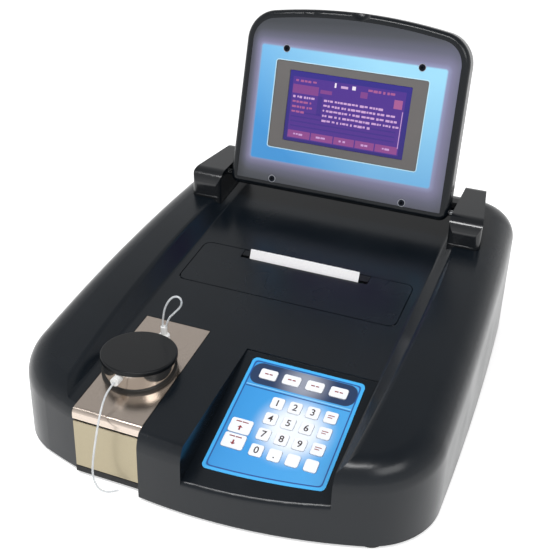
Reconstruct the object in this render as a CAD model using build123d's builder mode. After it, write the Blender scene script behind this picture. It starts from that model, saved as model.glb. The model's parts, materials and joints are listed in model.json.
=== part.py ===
from build123d import *
import math
import os

os.makedirs("parts", exist_ok=True)

# Benchtop chemistry analyzer. Millimetres, +Z up, the keypad faces -Y, the origin lies on the table
# under the middle of the body.

# ---- body ----
body_depth = 400.0
half_width = 169.0          # at the widest line, near the front
side_taper = 14.0           # how much narrower each side is at the rear
widest_inset = 78.0         # from the front to the widest line
front_bow = 400.0           # plan radius of the bowed front
front_corner = 60.0
rear_corner = 45.0
wall = 3.0
foot_height = 3.0           # the housing's lower edge stands this high
crown_stand_front = 4.3     # height of the shoulders over the deck's slope: at the body's front,
crown_stand_middle = 11.5   # over crown_middle_y and at the body's rear
crown_middle_y = 8.0
crown_stand_rear = 2.9
crown_round = 22.0          # rounding where the shoulders turn down into the walls
pan_thickness = 3.0
screw_radius = 1.5

# ---- deck, the sloping trough between the shoulders ----
deck_level = 88.6           # height of the deck at y = 0
deck_slope = 0.15
deck_half_width = 105.0
deck_rear_inset = 32.0      # from the body's rear to the end of the deck
trough_flare = 1.18         # sideways run of the trough wall for each millimetre of rise
valley_round = 5.0
ridge_round = 6.0
nose_round = 9.0

# ---- keypad ----
pocket_left = -3.0
pocket_depth = 116.0        # from the body's front to the rear wall of the pocket
pocket_margin = 4.0         # from that wall to the upper edge of the keypad plate
lip_round = 4.0             # rounding of the housing's edge in front of the keypad
pad_drop = 2.4              # from the deck's slope down to the plate's upper edge
pad_slope = 0.385
pad_left_margin = 8.0
pad_right_margin = 8.5
pad_left_length = 102.9     # along the slope, down the left edge and the right edge
pad_right_length = 94.3
pad_bow = 1.9               # how far the lower edge bows out
pad_thickness = 2.0
pad_corner = 4.0
pad_gap = 0.3
pad_ledge = 4.0
key_pitch = 14.1
key_size = 10.0
key_first_x = 38.7
key_first_v = -36.0
key_rise = 0.8              # how far a key stands above the plate
key_travel = 0.6
key_gap = 0.25
key_round = 1.8
flange_side = 0.7           # the flange that keeps a key in its window
flange_end = 0.35
soft_key_pitch = 18.9
soft_key_first_x = 22.5
soft_key_v = -13.3
soft_key_width = 14.0
soft_key_height = 9.0
wide_key_x = 19.8
wide_key_v = -62.7
wide_key_width = 17.2
wide_key_height = 12.4
wide_key_pitch = 13.2
board_thickness = 1.6

# ---- sampler ----
sheet = 1.5
plate_left = -96.4
plate_right = -39.4
plate_setback = 9.4         # from the body's front to the plate's
plate_length = 115.2
plate_gap = 0.6
plate_bend = 5.0
plate_lip = 52.0            # height of the lower edge of the bent lip
notch_depth = 22.0
sip_top = 50.0
sip_travel = 2.5
sill = 8.0                  # height of the pan's sill under the sip plate
guide_radius = 2.0
guide_inset = 10.0          # from the sip plate's side edges to its guide pegs
guide_z = 26.0
guide_length = 7.0          # of the guide bosses behind the notch wall
running = 0.08
well_x = -71.0
well_setback = 66.0         # from the body's front to the middle of the well
gasket_radius = 29.0
gasket_height = 2.4
collar_radius = 27.5
collar_wall = 2.0
collar_stand = 11.5         # height of the collar over the deck
cap_radius = 29.5
cap_thickness = 4.0
cap_spigot = 1.2
cell_radius = 18.0
cell_foot = 46.0
cell_flange = 2.5
tube_radius = 0.8
ferrule_radius = 3.4
ferrule_x = -73.0
ferrule_drop = 3.8          # from the collar's top down to the ferrule's axis
ferrule_reach = 34.0        # from the middle of the well to the ferrule's tip
union_x = -67.6
union_reach = 34.0
union_radius = 4.5
union_rise = 1.5            # from the collar's top up to the union's shoulder
stem_radius = 2.7
stem_rise = 8.0             # and up to the end of its stem

# ---- printer ----
cover_margin = 8.0          # from the cover's ends to the deck's edges
cover_front = -19.5
cover_rear = 38.5
cover_thickness = 2.6
cover_corner = 7.0
cover_gap = 0.8
hinge_edge_corner = 5.5
cover_seat = 3.0            # width of the ledge that the cover rests on
cover_pin_inset = 2.5
cover_pin_radius = 0.9
slot_half_width = 59.0
slot_front = 27.0
paper_half_width = 50.5
paper_thickness = 0.3
paper_y = 29.2
paper_stand = 9.6
paper_end = 74.0            # height of the strip's lower end, in front of the platen
paper_lean = 21.0
roll_radius = 22.0
roll_y = 3.0
roll_z = 60.0
core_radius = 6.0
platen_radius = 6.0
platen_z = 80.0
platen_shaft = 2.5
frame_inner = 54.5
frame_wall = 3.0
rest_gap = 0.3              # under a roll that lies in its tray
bar_thickness = 1.6

# ---- lid ----
lid_taper = 2.5             # how much narrower each side is at the top
lid_side = 156.5            # height of the lid's shoulders above its lower edge
lid_length = 167.5
lid_top_corner = 28.0
lid_bottom_corner = 8.0
lid_thickness = 22.0
lid_front_round = 5.0
lid_rear_round = 6.0
lid_wall = 2.4
lid_split = 10.0            # depth of the joint line between the two shells
lid_lean = 13.0             # degrees back from upright at rest
hinge_inset = 78.5          # from the body's rear to the hinge axis
hinge_stand = 22.175        # height of the axis over the deck's slope
hinge_up = 5.8              # the axis lies this far above the lid's lower edge
hinge_depth = 17.2          # and this far behind its face
hinge_pin_radius = 2.5
hinge_boss_length = 19.0
overlay_inset = 7.0
overlay_thickness = 0.8
bezel_half_width = 70.7
bezel_bottom = 39.8
bezel_top = 118.8
screen_half_width = 57.0
screen_bottom = 47.5
screen_top = 111.5
lid_screw_u = 62.6
lid_screw_high = 129.3
lid_screw_low = 10.1
head_radius = 2.7

# ---- hinge towers ----
tower_clearance = 4.5       # from the lid's side to the tower
tower_width_front = 30.0
tower_width_rear = 17.5
tower_reach_front = 30.5    # from the hinge axis to the tower's front and rear
tower_reach_rear = 43.5
tower_sink = 29.0           # from the hinge axis down to the tower's seat
tower_rise_front = 8.0      # and up to its top, at the front and at the rear
tower_rise_rear = 14.0
tower_round = 14.0
tower_edge = 5.0
tower_gap = 0.3

# ---- rear panel ----
inlet_x = 78.0
inlet_z = 40.0
inlet_width = 50.0
inlet_height = 30.0
panel_recess = 2.0
rocker_radius = 9.6
rocker_half_width = 6.5
rocker_tilt = 8.0
port_x = 8.0
port_z = 34.0
port_width = 31.0
port_height = 12.6

# ---- things inside ----
beam_x = -71.0
beam_z = 58.0
wheel_y = -45.0
wheel_radius = 27.0
wheel_z = 40.0
wheel_thickness = 6.0
shaft_radius = 2.5
pump_x = -78.0
pump_y = 100.0
pump_z = 36.0
pump_track = 21.0

half_depth = body_depth / 2


def deck_height(y):
    return deck_level + deck_slope * y


def sloped_plane(y, z, angle):
    """A plane whose local Y climbs to the rear by the angle, local Z up out of the surface."""
    a = math.radians(angle)
    return Plane(origin=(0, y, z), x_dir=(1, 0, 0), z_dir=(0, -math.sin(a), math.cos(a)))


widest_y = widest_inset - half_depth
crown_front = deck_height(-half_depth) + crown_stand_front
crown_middle = deck_height(crown_middle_y) + crown_stand_middle
crown_rear = deck_height(half_depth) + crown_stand_rear
pan_top = foot_height + pan_thickness
deck_rear = half_depth - deck_rear_inset
deck_angle = math.degrees(math.atan(deck_slope))
pocket_right = deck_half_width
pocket_rear = pocket_depth - half_depth
pad_angle = math.degrees(math.atan(pad_slope))
pad_y = pocket_rear - pocket_margin
pad_z = deck_height(pad_y) - pad_drop
pad_left = pocket_left + pad_left_margin
pad_right = pocket_right - pad_right_margin
plate_front = plate_setback - half_depth
plate_rear = plate_front + plate_length
notch_rear = notch_depth - half_depth
well_y = well_setback - half_depth
collar_top = deck_height(well_y) + collar_stand
ferrule_tip = well_y - ferrule_reach
ferrule_z = collar_top - ferrule_drop
union_y = well_y + union_reach
union_shoulder = collar_top + union_rise
stem_top = collar_top + stem_rise
cover_half_width = deck_half_width - cover_margin
lid_half_bottom = deck_half_width
lid_half_top = lid_half_bottom - lid_taper
hinge_y = half_depth - hinge_inset
hinge_z = deck_height(hinge_y) + hinge_stand
tower_inner = lid_half_bottom + tower_clearance
tower_outer_front = tower_inner + tower_width_front
tower_outer_rear = tower_inner + tower_width_rear
tower_front = hinge_y - tower_reach_front
tower_rear = hinge_y + tower_reach_rear
tower_seat = hinge_z - tower_sink
tower_top_front = hinge_z + tower_rise_front
tower_top_rear = hinge_z + tower_rise_rear
deck_plane = sloped_plane(0, deck_level, deck_angle)
pad_plane = sloped_plane(pad_y, pad_z, pad_angle)
lean = math.radians(lid_lean)
lid_up = Vector(0, math.sin(lean), math.cos(lean))
lid_out = Vector(0, -math.cos(lean), math.sin(lean))
lid_origin = Vector(0, hinge_y, hinge_z) - lid_up * hinge_up + lid_out * hinge_depth
lid_plane = Plane(origin=lid_origin, x_dir=(1, 0, 0), z_dir=lid_out)


def box(x0, x1, y0, y1, z0, z1):
    """A block between two corners, as its own shape."""
    with BuildPart() as block:
        with BuildSketch(Plane.XY.offset(z0)):
            with Locations(((x0 + x1) / 2, (y0 + y1) / 2)):
                Rectangle(x1 - x0, y1 - y0)
        extrude(amount=z1 - z0)
    return block.part


def rod(start, end, radius):
    """A round bar between two points, as its own shape."""
    axis = Vector(*end) - Vector(*start)
    with BuildPart() as bar:
        with BuildSketch(Plane(origin=start, z_dir=axis)):
            Circle(radius)
        extrude(amount=axis.length)
    return bar.part


def plan_outline(inset):
    """The body seen from above: bowed front, slightly tapering sides, round corners."""
    side = half_width - inset
    bow = front_bow - inset
    front = -half_depth + inset
    rear = half_depth - inset
    side_radius = ((half_depth - widest_y) ** 2 + side_taper ** 2) / (2 * side_taper) - inset
    front_y = front + bow - math.sqrt(bow ** 2 - side ** 2)
    middle_y = (front_y + rear) / 2

    def side_x(y):
        return side - side_radius + math.sqrt(side_radius ** 2 - (y - widest_y) ** 2)

    with BuildSketch() as outline:
        with BuildLine():
            ThreePointArc((-side_x(front_y), front_y), (0, front), (side_x(front_y), front_y))
            ThreePointArc((side_x(front_y), front_y), (side_x(middle_y), middle_y), (side_x(rear), rear))
            Line((side_x(rear), rear), (-side_x(rear), rear))
            ThreePointArc((-side_x(rear), rear), (-side_x(middle_y), middle_y), (-side_x(front_y), front_y))
        make_face()
        fillet(outline.vertices().group_by(Axis.Y)[0], front_corner - inset)
        fillet(outline.vertices().group_by(Axis.Y)[-1], rear_corner - inset)
    return outline.sketch


def prism(inset, bottom, top):
    """The plan outline drawn in by the inset, raised between two heights."""
    with BuildPart() as block:
        with BuildSketch(Plane.XY.offset(bottom)):
            add(plan_outline(inset))
        extrude(amount=top - bottom)
    return block.part


def trough(inset, rear):
    """The space over the deck, between the shoulders."""
    reach = 34.0
    angle = math.radians(deck_angle)
    front = -half_depth - 30
    start = Plane(
        origin=(0, front, deck_height(front)),
        x_dir=(1, 0, 0),
        z_dir=(0, math.cos(angle), math.sin(angle)),
    )
    top = deck_half_width + reach * trough_flare
    with BuildPart() as space:
        with BuildSketch(start) as section:
            with BuildLine():
                Polyline(
                    (-deck_half_width, 0), (deck_half_width, 0), (top, -reach), (-top, -reach), close=True
                )
            make_face()
            if inset:
                offset(amount=inset, kind=Kind.INTERSECTION)
            fillet(section.vertices().group_by(Axis.Y)[-1], valley_round)
        extrude(amount=(rear - front) / math.cos(angle))
    return space.part


def pocket(inset):
    """The space over the keypad, open at the front."""
    fall = half_depth + 30 + pocket_rear
    low = inset / math.cos(math.radians(pad_angle))
    rear = pocket_rear + inset
    rear_z = pad_z + pad_slope * (rear - pad_y) - low
    front = -half_depth - 30
    front_z = pad_z + pad_slope * (front - pad_y) - low
    with BuildPart() as space:
        with BuildSketch(Plane.YZ.offset(pocket_left - inset)):
            with BuildLine():
                Polyline(
                    (rear, rear_z), (rear, rear_z + fall), (front, rear_z + fall), (front, front_z), close=True
                )
            make_face()
        extrude(amount=pocket_right - pocket_left + 2 * inset)
    return space.part


def notch(inset):
    """The gap in the front wall that the sip plate fills."""
    left = plate_left - plate_gap - inset
    right = plate_right + plate_gap + inset
    return box(left, right, -half_depth - 30, notch_rear + inset, -10, deck_level)


def crown_circle():
    """Centre and radius of the large arc, seen from the side, that the shoulders' crown follows."""
    front = Vector(-half_depth, crown_front)
    middle = Vector(crown_middle_y, crown_middle)
    rear = Vector(half_depth, crown_rear)
    a = (middle - front).cross(rear - front).Z * 2
    b = (middle - front).length ** 2
    c = (rear - front).length ** 2
    y = front.X + (b * (rear.Y - front.Y) - c * (middle.Y - front.Y)) / a
    z = front.Y + (c * (middle.X - front.X) - b * (rear.X - front.X)) / a
    return y, z, (Vector(y, z) - front).length


def crowned_block(inset, bottom):
    """The body below its crowned top, drawn in by the inset on every side, its edges sharp."""
    y, z, radius = crown_circle()
    with BuildPart() as block:
        add(prism(inset, bottom, crown_rear + 40))
        with BuildSketch(Plane.YZ):
            with Locations((y, z)):
                Circle(radius - inset)
        extrude(amount=half_width + 10, both=True, mode=Mode.INTERSECT)
    return block.part


def crowned_body(inset, bottom):
    with BuildPart() as body:
        add(crowned_block(inset, bottom))
        crown = body.faces().sort_by(Axis.Z)[-1]
        fillet(crown.edges(), crown_round - inset)
    return body.part


def nose_corner():
    """What a rounded front edge takes off the deck between the notch and the pocket."""
    with BuildPart() as sharp:
        add(prism(0, foot_height, crown_rear))
        with BuildSketch(Plane.YZ):
            with BuildLine():
                Polyline(
                    (-half_depth - 10, deck_height(-half_depth - 10)),
                    (half_depth, deck_height(half_depth)),
                    (half_depth, 0),
                    (-half_depth - 10, 0),
                    close=True,
                )
            make_face()
        extrude(amount=half_width + 10, both=True, mode=Mode.INTERSECT)
    with BuildPart() as corner:
        add(sharp.part)
        top = sharp.part.faces().sort_by(Axis.Z)[-1]
        add(sharp.part.fillet(nose_round, top.edges()), mode=Mode.SUBTRACT)
        add(
            box(plate_right - 5, pocket_left + 5, -half_depth - 10, -half_depth + 40, 0, crown_rear),
            mode=Mode.INTERSECT,
        )
    return corner.part


def tower_plan(inset):
    with BuildSketch() as outline:
        with BuildLine():
            Polyline(
                (tower_inner, tower_front),
                (tower_outer_front, tower_front),
                (tower_outer_rear, tower_rear),
                (tower_inner, tower_rear),
                close=True,
            )
        make_face()
        fillet(outline.vertices(), tower_edge)
        if inset:
            offset(amount=-inset)
    return outline.sketch


def tower_block(inset, bottom, top):
    with BuildPart() as block:
        with BuildSketch(Plane.XY.offset(bottom)):
            add(tower_plan(inset))
        extrude(amount=top - bottom)
    return block.part


def mirrored(shape):
    return mirror(shape, about=Plane.YZ)


# ---- top housing: one moulded shell with shoulders, deck, keypad pocket and sampler notch ----
screw_places = [(142, -96), (138, 20), (118, 152)]
boss_radius = 5.0
boss_foot = [(sign * x, y) for x, y in screw_places for sign in (-1, 1)]

with BuildPart() as outer:
    # the ridges are rounded on a trough that is open at both ends, which is then closed at the rear
    add(crowned_block(0, foot_height))
    add(trough(0, half_depth + 30), mode=Mode.SUBTRACT)
    ridges = outer.edges().filter_by(GeomType.ELLIPSE).filter_by(lambda e: e.length > half_depth)
    fillet(ridges, ridge_round)
    add(box(-half_width, half_width, deck_rear, half_depth + 1, foot_height, crown_rear + 1))
    add(crowned_body(0, foot_height), mode=Mode.INTERSECT)
    add(nose_corner(), mode=Mode.SUBTRACT)
    add(pocket(0), mode=Mode.SUBTRACT)
    add(notch(0), mode=Mode.SUBTRACT)
    lip = outer.edges().filter_by(GeomType.ELLIPSE).sort_by(Axis.Z)[0]
    fillet(lip, lip_round)


def body_within(inset, bottom):
    """The outer form drawn in by the inset, without its small roundings."""
    with BuildPart() as within:
        add(crowned_body(inset, bottom))
        add(trough(inset, deck_rear + inset), mode=Mode.SUBTRACT)
        add(pocket(inset), mode=Mode.SUBTRACT)
        add(notch(inset), mode=Mode.SUBTRACT)
    return within.part


inner = body_within(wall, -10)
skin_space = body_within(1.0, foot_height)

cover_depth = cover_rear - cover_front
cover_middle = (cover_rear + cover_front) / 2
pivot_v = cover_front + cover_pin_inset
pivot_w = -cover_thickness / 2
rim = 5.0
guide_places = (plate_left + guide_inset, plate_right - guide_inset)
guide_end = notch_rear + wall + guide_length


def deck_slab(x0, x1, v0, v1, w0, w1):
    """A block laid along the deck: x across, v up the slope, w out of the surface."""
    with BuildPart() as slab:
        with BuildSketch(deck_plane.offset(w0)):
            with Locations(((x0 + x1) / 2, (v0 + v1) / 2)):
                Rectangle(x1 - x0, v1 - v0)
        extrude(amount=w1 - w0)
    return slab.part


def cover_slab(gap, w0, w1, corner=cover_corner):
    with BuildPart() as slab:
        with BuildSketch(deck_plane.offset(w0)):
            with Locations((0, cover_middle)):
                RectangleRounded(
                    2 * (cover_half_width + gap), cover_depth + 2 * gap, corner + gap
                )
        extrude(amount=w1 - w0)
    return slab.part


def pad_outline(inset):
    """The keypad plate seen square on: straight sides, lower edge bowed like the body's front."""
    middle_x = (pad_left + pad_right) / 2
    middle_v = -(pad_left_length + pad_right_length) / 2 - pad_bow
    with BuildSketch() as outline:
        with BuildLine():
            ThreePointArc((pad_left, -pad_left_length), (middle_x, middle_v), (pad_right, -pad_right_length))
            Polyline(
                (pad_right, -pad_right_length), (pad_right, 0), (pad_left, 0), (pad_left, -pad_left_length)
            )
        make_face()
        fillet(outline.vertices(), pad_corner)
        if inset:
            offset(amount=-inset)
    return outline.sketch


def pad_slab(inset, w0, w1):
    with BuildPart() as slab:
        with BuildSketch(pad_plane.offset(w0)):
            add(pad_outline(inset))
        extrude(amount=w1 - w0)
    return slab.part


vent_width = 3.0
vent_height = 34.0
vent_pitch = 8.0
vent_x = -60.0
vent_z = 62.0

with BuildPart() as top_housing:
    add(outer.part)
    add(inner, mode=Mode.SUBTRACT)
    # screw bosses, tower pads, printer rim and rear panel pad, all kept inside the skin
    with BuildPart(mode=Mode.PRIVATE) as ribs:
        for x, y in boss_foot:
            add(rod((x, y, pan_top), (x, y, crown_rear), boss_radius))
        add(tower_block(-3.0, tower_seat - wall, crown_rear))
        add(mirrored(tower_block(-3.0, tower_seat - wall, crown_rear)))
        rim_half_width = cover_half_width + rim
        add(deck_slab(-rim_half_width, rim_half_width, cover_front - rim, cover_rear + rim, -6, 0))
        add(
            box(
                inlet_x - inlet_width / 2 - 3,
                inlet_x + inlet_width / 2 + 3,
                half_depth - wall - 3,
                half_depth,
                inlet_z - inlet_height / 2 - 3,
                inlet_z + inlet_height / 2 + 3,
            )
        )
        add(skin_space, mode=Mode.INTERSECT)
    add(ribs.part)
    for x in guide_places:
        add(rod((x, notch_rear + 1, guide_z), (x, guide_end, guide_z), guide_radius + 2.5))
        add(
            rod((x, notch_rear - 1, guide_z), (x, guide_end + 1, guide_z), guide_radius + running),
            mode=Mode.SUBTRACT,
        )
    # the pan closes the underside, inside the wall
    add(prism(wall, foot_height - 5, pan_top), mode=Mode.SUBTRACT)
    # hinge tower seats
    add(tower_block(-tower_gap, tower_seat, crown_rear + 30), mode=Mode.SUBTRACT)
    add(mirrored(tower_block(-tower_gap, tower_seat, crown_rear + 30)), mode=Mode.SUBTRACT)
    # printer cover: a shallow seat, then the bay under it
    add(cover_slab(cover_gap, -cover_thickness - 0.2, 20), mode=Mode.SUBTRACT)
    bay_half_width = cover_half_width - cover_seat
    add(
        deck_slab(-bay_half_width, bay_half_width, cover_front + 8, cover_rear - cover_seat, -20, 0),
        mode=Mode.SUBTRACT,
    )
    # deeper and with tighter corners along the hinge edge, where the cover turns down into it
    with BuildPart(mode=Mode.PRIVATE) as front_relief:
        add(cover_slab(cover_gap, -cover_thickness - 2, 0, hinge_edge_corner))
        add(
            deck_slab(-half_width, half_width, cover_front - 5, cover_front + cover_corner, -20, 5),
            mode=Mode.INTERSECT,
        )
    add(front_relief.part, mode=Mode.SUBTRACT)
    add(
        deck_slab(
            -cover_half_width + cover_corner,
            cover_half_width - cover_corner,
            cover_front - cover_gap,
            cover_front + 12,
            -20,
            0,
        ),
        mode=Mode.SUBTRACT,
    )
    slot = deck_slab(-slot_half_width, slot_half_width, slot_front, cover_rear + cover_gap, -20, 0)
    add(slot, mode=Mode.SUBTRACT)
    # sampler plate: a seat one sheet deep, then the opening under it
    seat_front = -half_depth - 20
    add(
        deck_slab(
            plate_left - plate_gap,
            plate_right + plate_gap,
            seat_front,
            (plate_rear + plate_gap) / math.cos(math.radians(deck_angle)),
            -sheet,
            20,
        ),
        mode=Mode.SUBTRACT,
    )
    under_plate = box(plate_left + 5, plate_right - 5, notch_rear + wall, plate_rear - 5, 40, deck_level)
    add(under_plate, mode=Mode.SUBTRACT)
    # keypad: a seat for the plate, then the opening behind the keys
    add(pad_slab(-pad_gap, -pad_thickness, 1), mode=Mode.SUBTRACT)
    add(pad_slab(pad_ledge, -12, 0), mode=Mode.SUBTRACT)
    # rear panel
    with BuildSketch(Plane.XZ.offset(-half_depth)):
        with Locations((inlet_x, inlet_z)):
            Rectangle(inlet_width + 0.6, inlet_height + 0.6)
    extrude(amount=panel_recess, mode=Mode.SUBTRACT)
    with BuildSketch(Plane.XZ.offset(-half_depth)):
        with Locations((inlet_x, inlet_z)):
            Rectangle(inlet_width - 4, inlet_height - 4)
        with Locations((port_x, port_z)):
            Rectangle(port_width + 1, port_height + 1)
        with Locations((vent_x, vent_z)):
            with GridLocations(vent_pitch, 1, 9, 1):
                SlotOverall(vent_height, vent_width, rotation=90)
    extrude(amount=3 * wall, mode=Mode.SUBTRACT)
    # pin holes of the printer cover and pilot holes of the base screws
    for side in (-1, 1):
        hole_start = deck_plane.from_local_coords((side * (cover_half_width - 4), pivot_v, pivot_w))
        hole_end = deck_plane.from_local_coords((side * (cover_half_width + cover_gap + 3), pivot_v, pivot_w))
        add(rod(hole_start, hole_end, cover_pin_radius + running), mode=Mode.SUBTRACT)
    for x, y in boss_foot:
        add(rod((x, y, 0), (x, y, pan_top + 18), screw_radius), mode=Mode.SUBTRACT)
top_housing.part.label = "top_housing"
print("top_housing", top_housing.part.is_valid, len(top_housing.part.solids()), top_housing.part.volume)
export_step(top_housing.part, "parts/top_housing.step")


def finish(part, label):
    """Name a finished piece and write its STEP file."""
    part.label = label
    export_step(part, "parts/" + label + ".step")


# ---- base pan: closes the underside, with the sill under the sip plate and posts for the boards ----
pan_gap = 0.2
foot_radius = 10.0
foot_stem = 3.0
foot_places = [(130, -166), (118, 166)]
foot_points = [(sign * x, y) for x, y in foot_places for sign in (-1, 1)]
screw_head = 3.2
board_level = 14.0
board_left = -32.0
board_right = 62.0
board_front = half_depth - 140.0
board_rear = half_depth - 10.0
post_inset = 4.0            # from the main board's edges to its posts
board_corners = [
    (board_left + post_inset, board_front + post_inset),
    (board_right - post_inset, board_front + post_inset),
    (board_left + post_inset, board_rear - post_inset),
    (board_right - 22, board_rear - post_inset),
]

with BuildPart() as base_pan:
    add(prism(wall + pan_gap, foot_height, pan_top))
    add(
        box(plate_left - plate_gap, plate_right + plate_gap, -half_depth - 30, plate_front, -1, 20),
        mode=Mode.SUBTRACT,
    )
    add(box(plate_left, plate_right, plate_front, plate_front + 4, foot_height, sill))
    for x, y in board_corners:
        add(rod((x, y, pan_top), (x, y, board_level), 3.5))
    for x, y in boss_foot:
        add(rod((x, y, 0), (x, y, 20), screw_radius + 0.3), mode=Mode.SUBTRACT)
        add(rod((x, y, 0), (x, y, foot_height + 1.6), screw_head + 0.3), mode=Mode.SUBTRACT)
    for x, y in foot_points:
        add(rod((x, y, 0), (x, y, 20), foot_stem + 0.1), mode=Mode.SUBTRACT)
finish(base_pan.part, "base_pan")

with BuildPart() as rubber_feet:
    for x, y in foot_points:
        add(rod((x, y, 0), (x, y, foot_height), foot_radius))
        add(rod((x, y, foot_height), (x, y, pan_top), foot_stem))
        add(rod((x, y, pan_top), (x, y, pan_top + 1.5), foot_stem + 1.5))
    fillet(rubber_feet.edges().group_by(Axis.Z)[0], 1.0)
finish(rubber_feet.part, "rubber_feet")

with BuildPart() as base_screws:
    for x, y in boss_foot:
        add(rod((x, y, foot_height + 0.2), (x, y, foot_height + 1.6), screw_head))
        add(rod((x, y, foot_height + 1.6), (x, y, pan_top + 14), screw_radius - 0.05))
finish(base_screws.part, "base_screws")


# ---- hinge towers and pins ----
def hinge_tower():
    """The right tower: upright at the front, its top rising to the rear, bored for the pin."""
    with BuildPart() as tower:
        add(tower_block(0, tower_seat, tower_top_rear + 10))
        with BuildSketch(Plane.YZ) as side:
            with BuildLine():
                Polyline(
                    (tower_front, tower_seat),
                    (tower_front, tower_top_front),
                    (tower_rear, tower_top_rear),
                    (tower_rear, tower_seat),
                    close=True,
                )
            make_face()
            fillet(side.vertices().sort_by(Axis.Y)[-1], tower_round - 2)
            fillet(side.vertices().filter_by(lambda v: abs(v.Y - tower_top_front) < 0.1), tower_round)
        extrude(amount=half_width, mode=Mode.INTERSECT)
        bore_start = (tower_inner - 1, hinge_y, hinge_z)
        bore_end = (tower_inner + 15, hinge_y, hinge_z)
        add(rod(bore_start, bore_end, hinge_pin_radius + 0.05), mode=Mode.SUBTRACT)
    return tower.part


with BuildPart() as hinge_tower_right:
    add(hinge_tower())
finish(hinge_tower_right.part, "hinge_tower_right")

with BuildPart() as hinge_tower_left:
    add(mirrored(hinge_tower()))
finish(hinge_tower_left.part, "hinge_tower_left")

with BuildPart() as hinge_pins:
    for side in (-1, 1):
        pin_start = (side * (tower_inner + 14.8), hinge_y, hinge_z)
        pin_end = (side * (lid_half_bottom - hinge_boss_length + 4), hinge_y, hinge_z)
        add(rod(pin_start, pin_end, hinge_pin_radius))
finish(hinge_pins.part, "hinge_pins")


# ---- lid: front shell, rear shell, overlay, display ----
def lid_outline(inset):
    """The lid seen square on: straight lower edge, slightly tapering sides, bowed top."""
    with BuildSketch() as outline:
        with BuildLine():
            Polyline(
                (-lid_half_top, lid_side),
                (-lid_half_bottom, 0),
                (lid_half_bottom, 0),
                (lid_half_top, lid_side),
            )
            ThreePointArc((lid_half_top, lid_side), (0, lid_length), (-lid_half_top, lid_side))
        make_face()
        fillet(outline.vertices().group_by(Axis.Y)[-1], lid_top_corner)
        fillet(outline.vertices().group_by(Axis.Y)[0], lid_bottom_corner)
        if inset:
            offset(amount=-inset)
    return outline.sketch


def lid_slab(inset, depth_0, depth_1):
    """The lid outline drawn in by the inset, between two depths behind the face."""
    with BuildPart() as slab:
        with BuildSketch(lid_plane.offset(-depth_1)):
            add(lid_outline(inset))
        extrude(amount=depth_1 - depth_0)
    return slab.part


def lid_box(u0, u1, v0, v1, depth_0, depth_1, corner=0.0):
    """A block square to the lid: u across, v up, depth behind the face."""
    with BuildPart() as block:
        with BuildSketch(lid_plane.offset(-depth_1)):
            with Locations(((u0 + u1) / 2, (v0 + v1) / 2)):
                if corner:
                    RectangleRounded(u1 - u0, v1 - v0, corner)
                else:
                    Rectangle(u1 - u0, v1 - v0)
        extrude(amount=depth_1 - depth_0)
    return block.part


def lid_rod(u, v, depth_0, depth_1, radius):
    start = lid_plane.from_local_coords((u, v, -depth_0))
    end = lid_plane.from_local_coords((u, v, -depth_1))
    return rod(start, end, radius)


def rounded_lid():
    with BuildPart() as solid:
        add(lid_slab(0, 0, lid_thickness))
        face = solid.faces().sort_by(Axis(lid_origin, lid_out))[-1]
        back = solid.faces().sort_by(Axis(lid_origin, lid_out))[0]
        fillet(face.edges(), lid_front_round)
        fillet(back.edges(), lid_rear_round)
    return solid.part


def thumb_scoop():
    """A round hollow in the top edge, where a thumb opens the lid."""
    centre = lid_plane.from_local_coords((2, lid_length + 2.5, 4.5))
    with BuildPart() as scoop:
        with BuildSketch(Plane(origin=centre, x_dir=(1, 0, 0), z_dir=(0, 1, 0))):
            with BuildLine():
                Line((-11, 0), (11, 0))
                ThreePointArc((11, 0), (0, 11), (-11, 0))
            make_face()
        revolve(axis=Axis(centre, (1, 0, 0)), revolution_arc=360)
    return scoop.part


lid_seam = 0.3
cavity_inset = lid_wall + 1
window_gap = 0.3
lcd_flange = 4.0
lcd_depth = 12.0
lid_screw_points = [(sign * lid_screw_u, v) for v in (lid_screw_low, lid_screw_high) for sign in (-1, 1)]
shell_floor = overlay_thickness + lid_wall
solid_lid = rounded_lid()

with BuildPart() as lid_front_shell:
    add(solid_lid)
    add(lid_slab(-5, lid_split - lid_seam / 2, lid_thickness + 5), mode=Mode.SUBTRACT)
    add(lid_slab(cavity_inset, shell_floor, lid_thickness), mode=Mode.SUBTRACT)
    add(lid_box(-12, 16, lid_length - 14, lid_length - 2, shell_floor - 0.5, lid_split - lid_seam / 2))
    add(lid_slab(overlay_inset - 0.2, -1, overlay_thickness), mode=Mode.SUBTRACT)
    add(
        lid_box(-bezel_half_width, bezel_half_width, bezel_bottom, bezel_top, -1, lid_thickness, 2.0),
        mode=Mode.SUBTRACT,
    )
    for u, v in lid_screw_points:
        add(lid_rod(u, v, -1, lid_thickness, screw_radius + 0.2), mode=Mode.SUBTRACT)
    add(thumb_scoop(), mode=Mode.SUBTRACT)
finish(lid_front_shell.part, "lid_front_shell")

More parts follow.
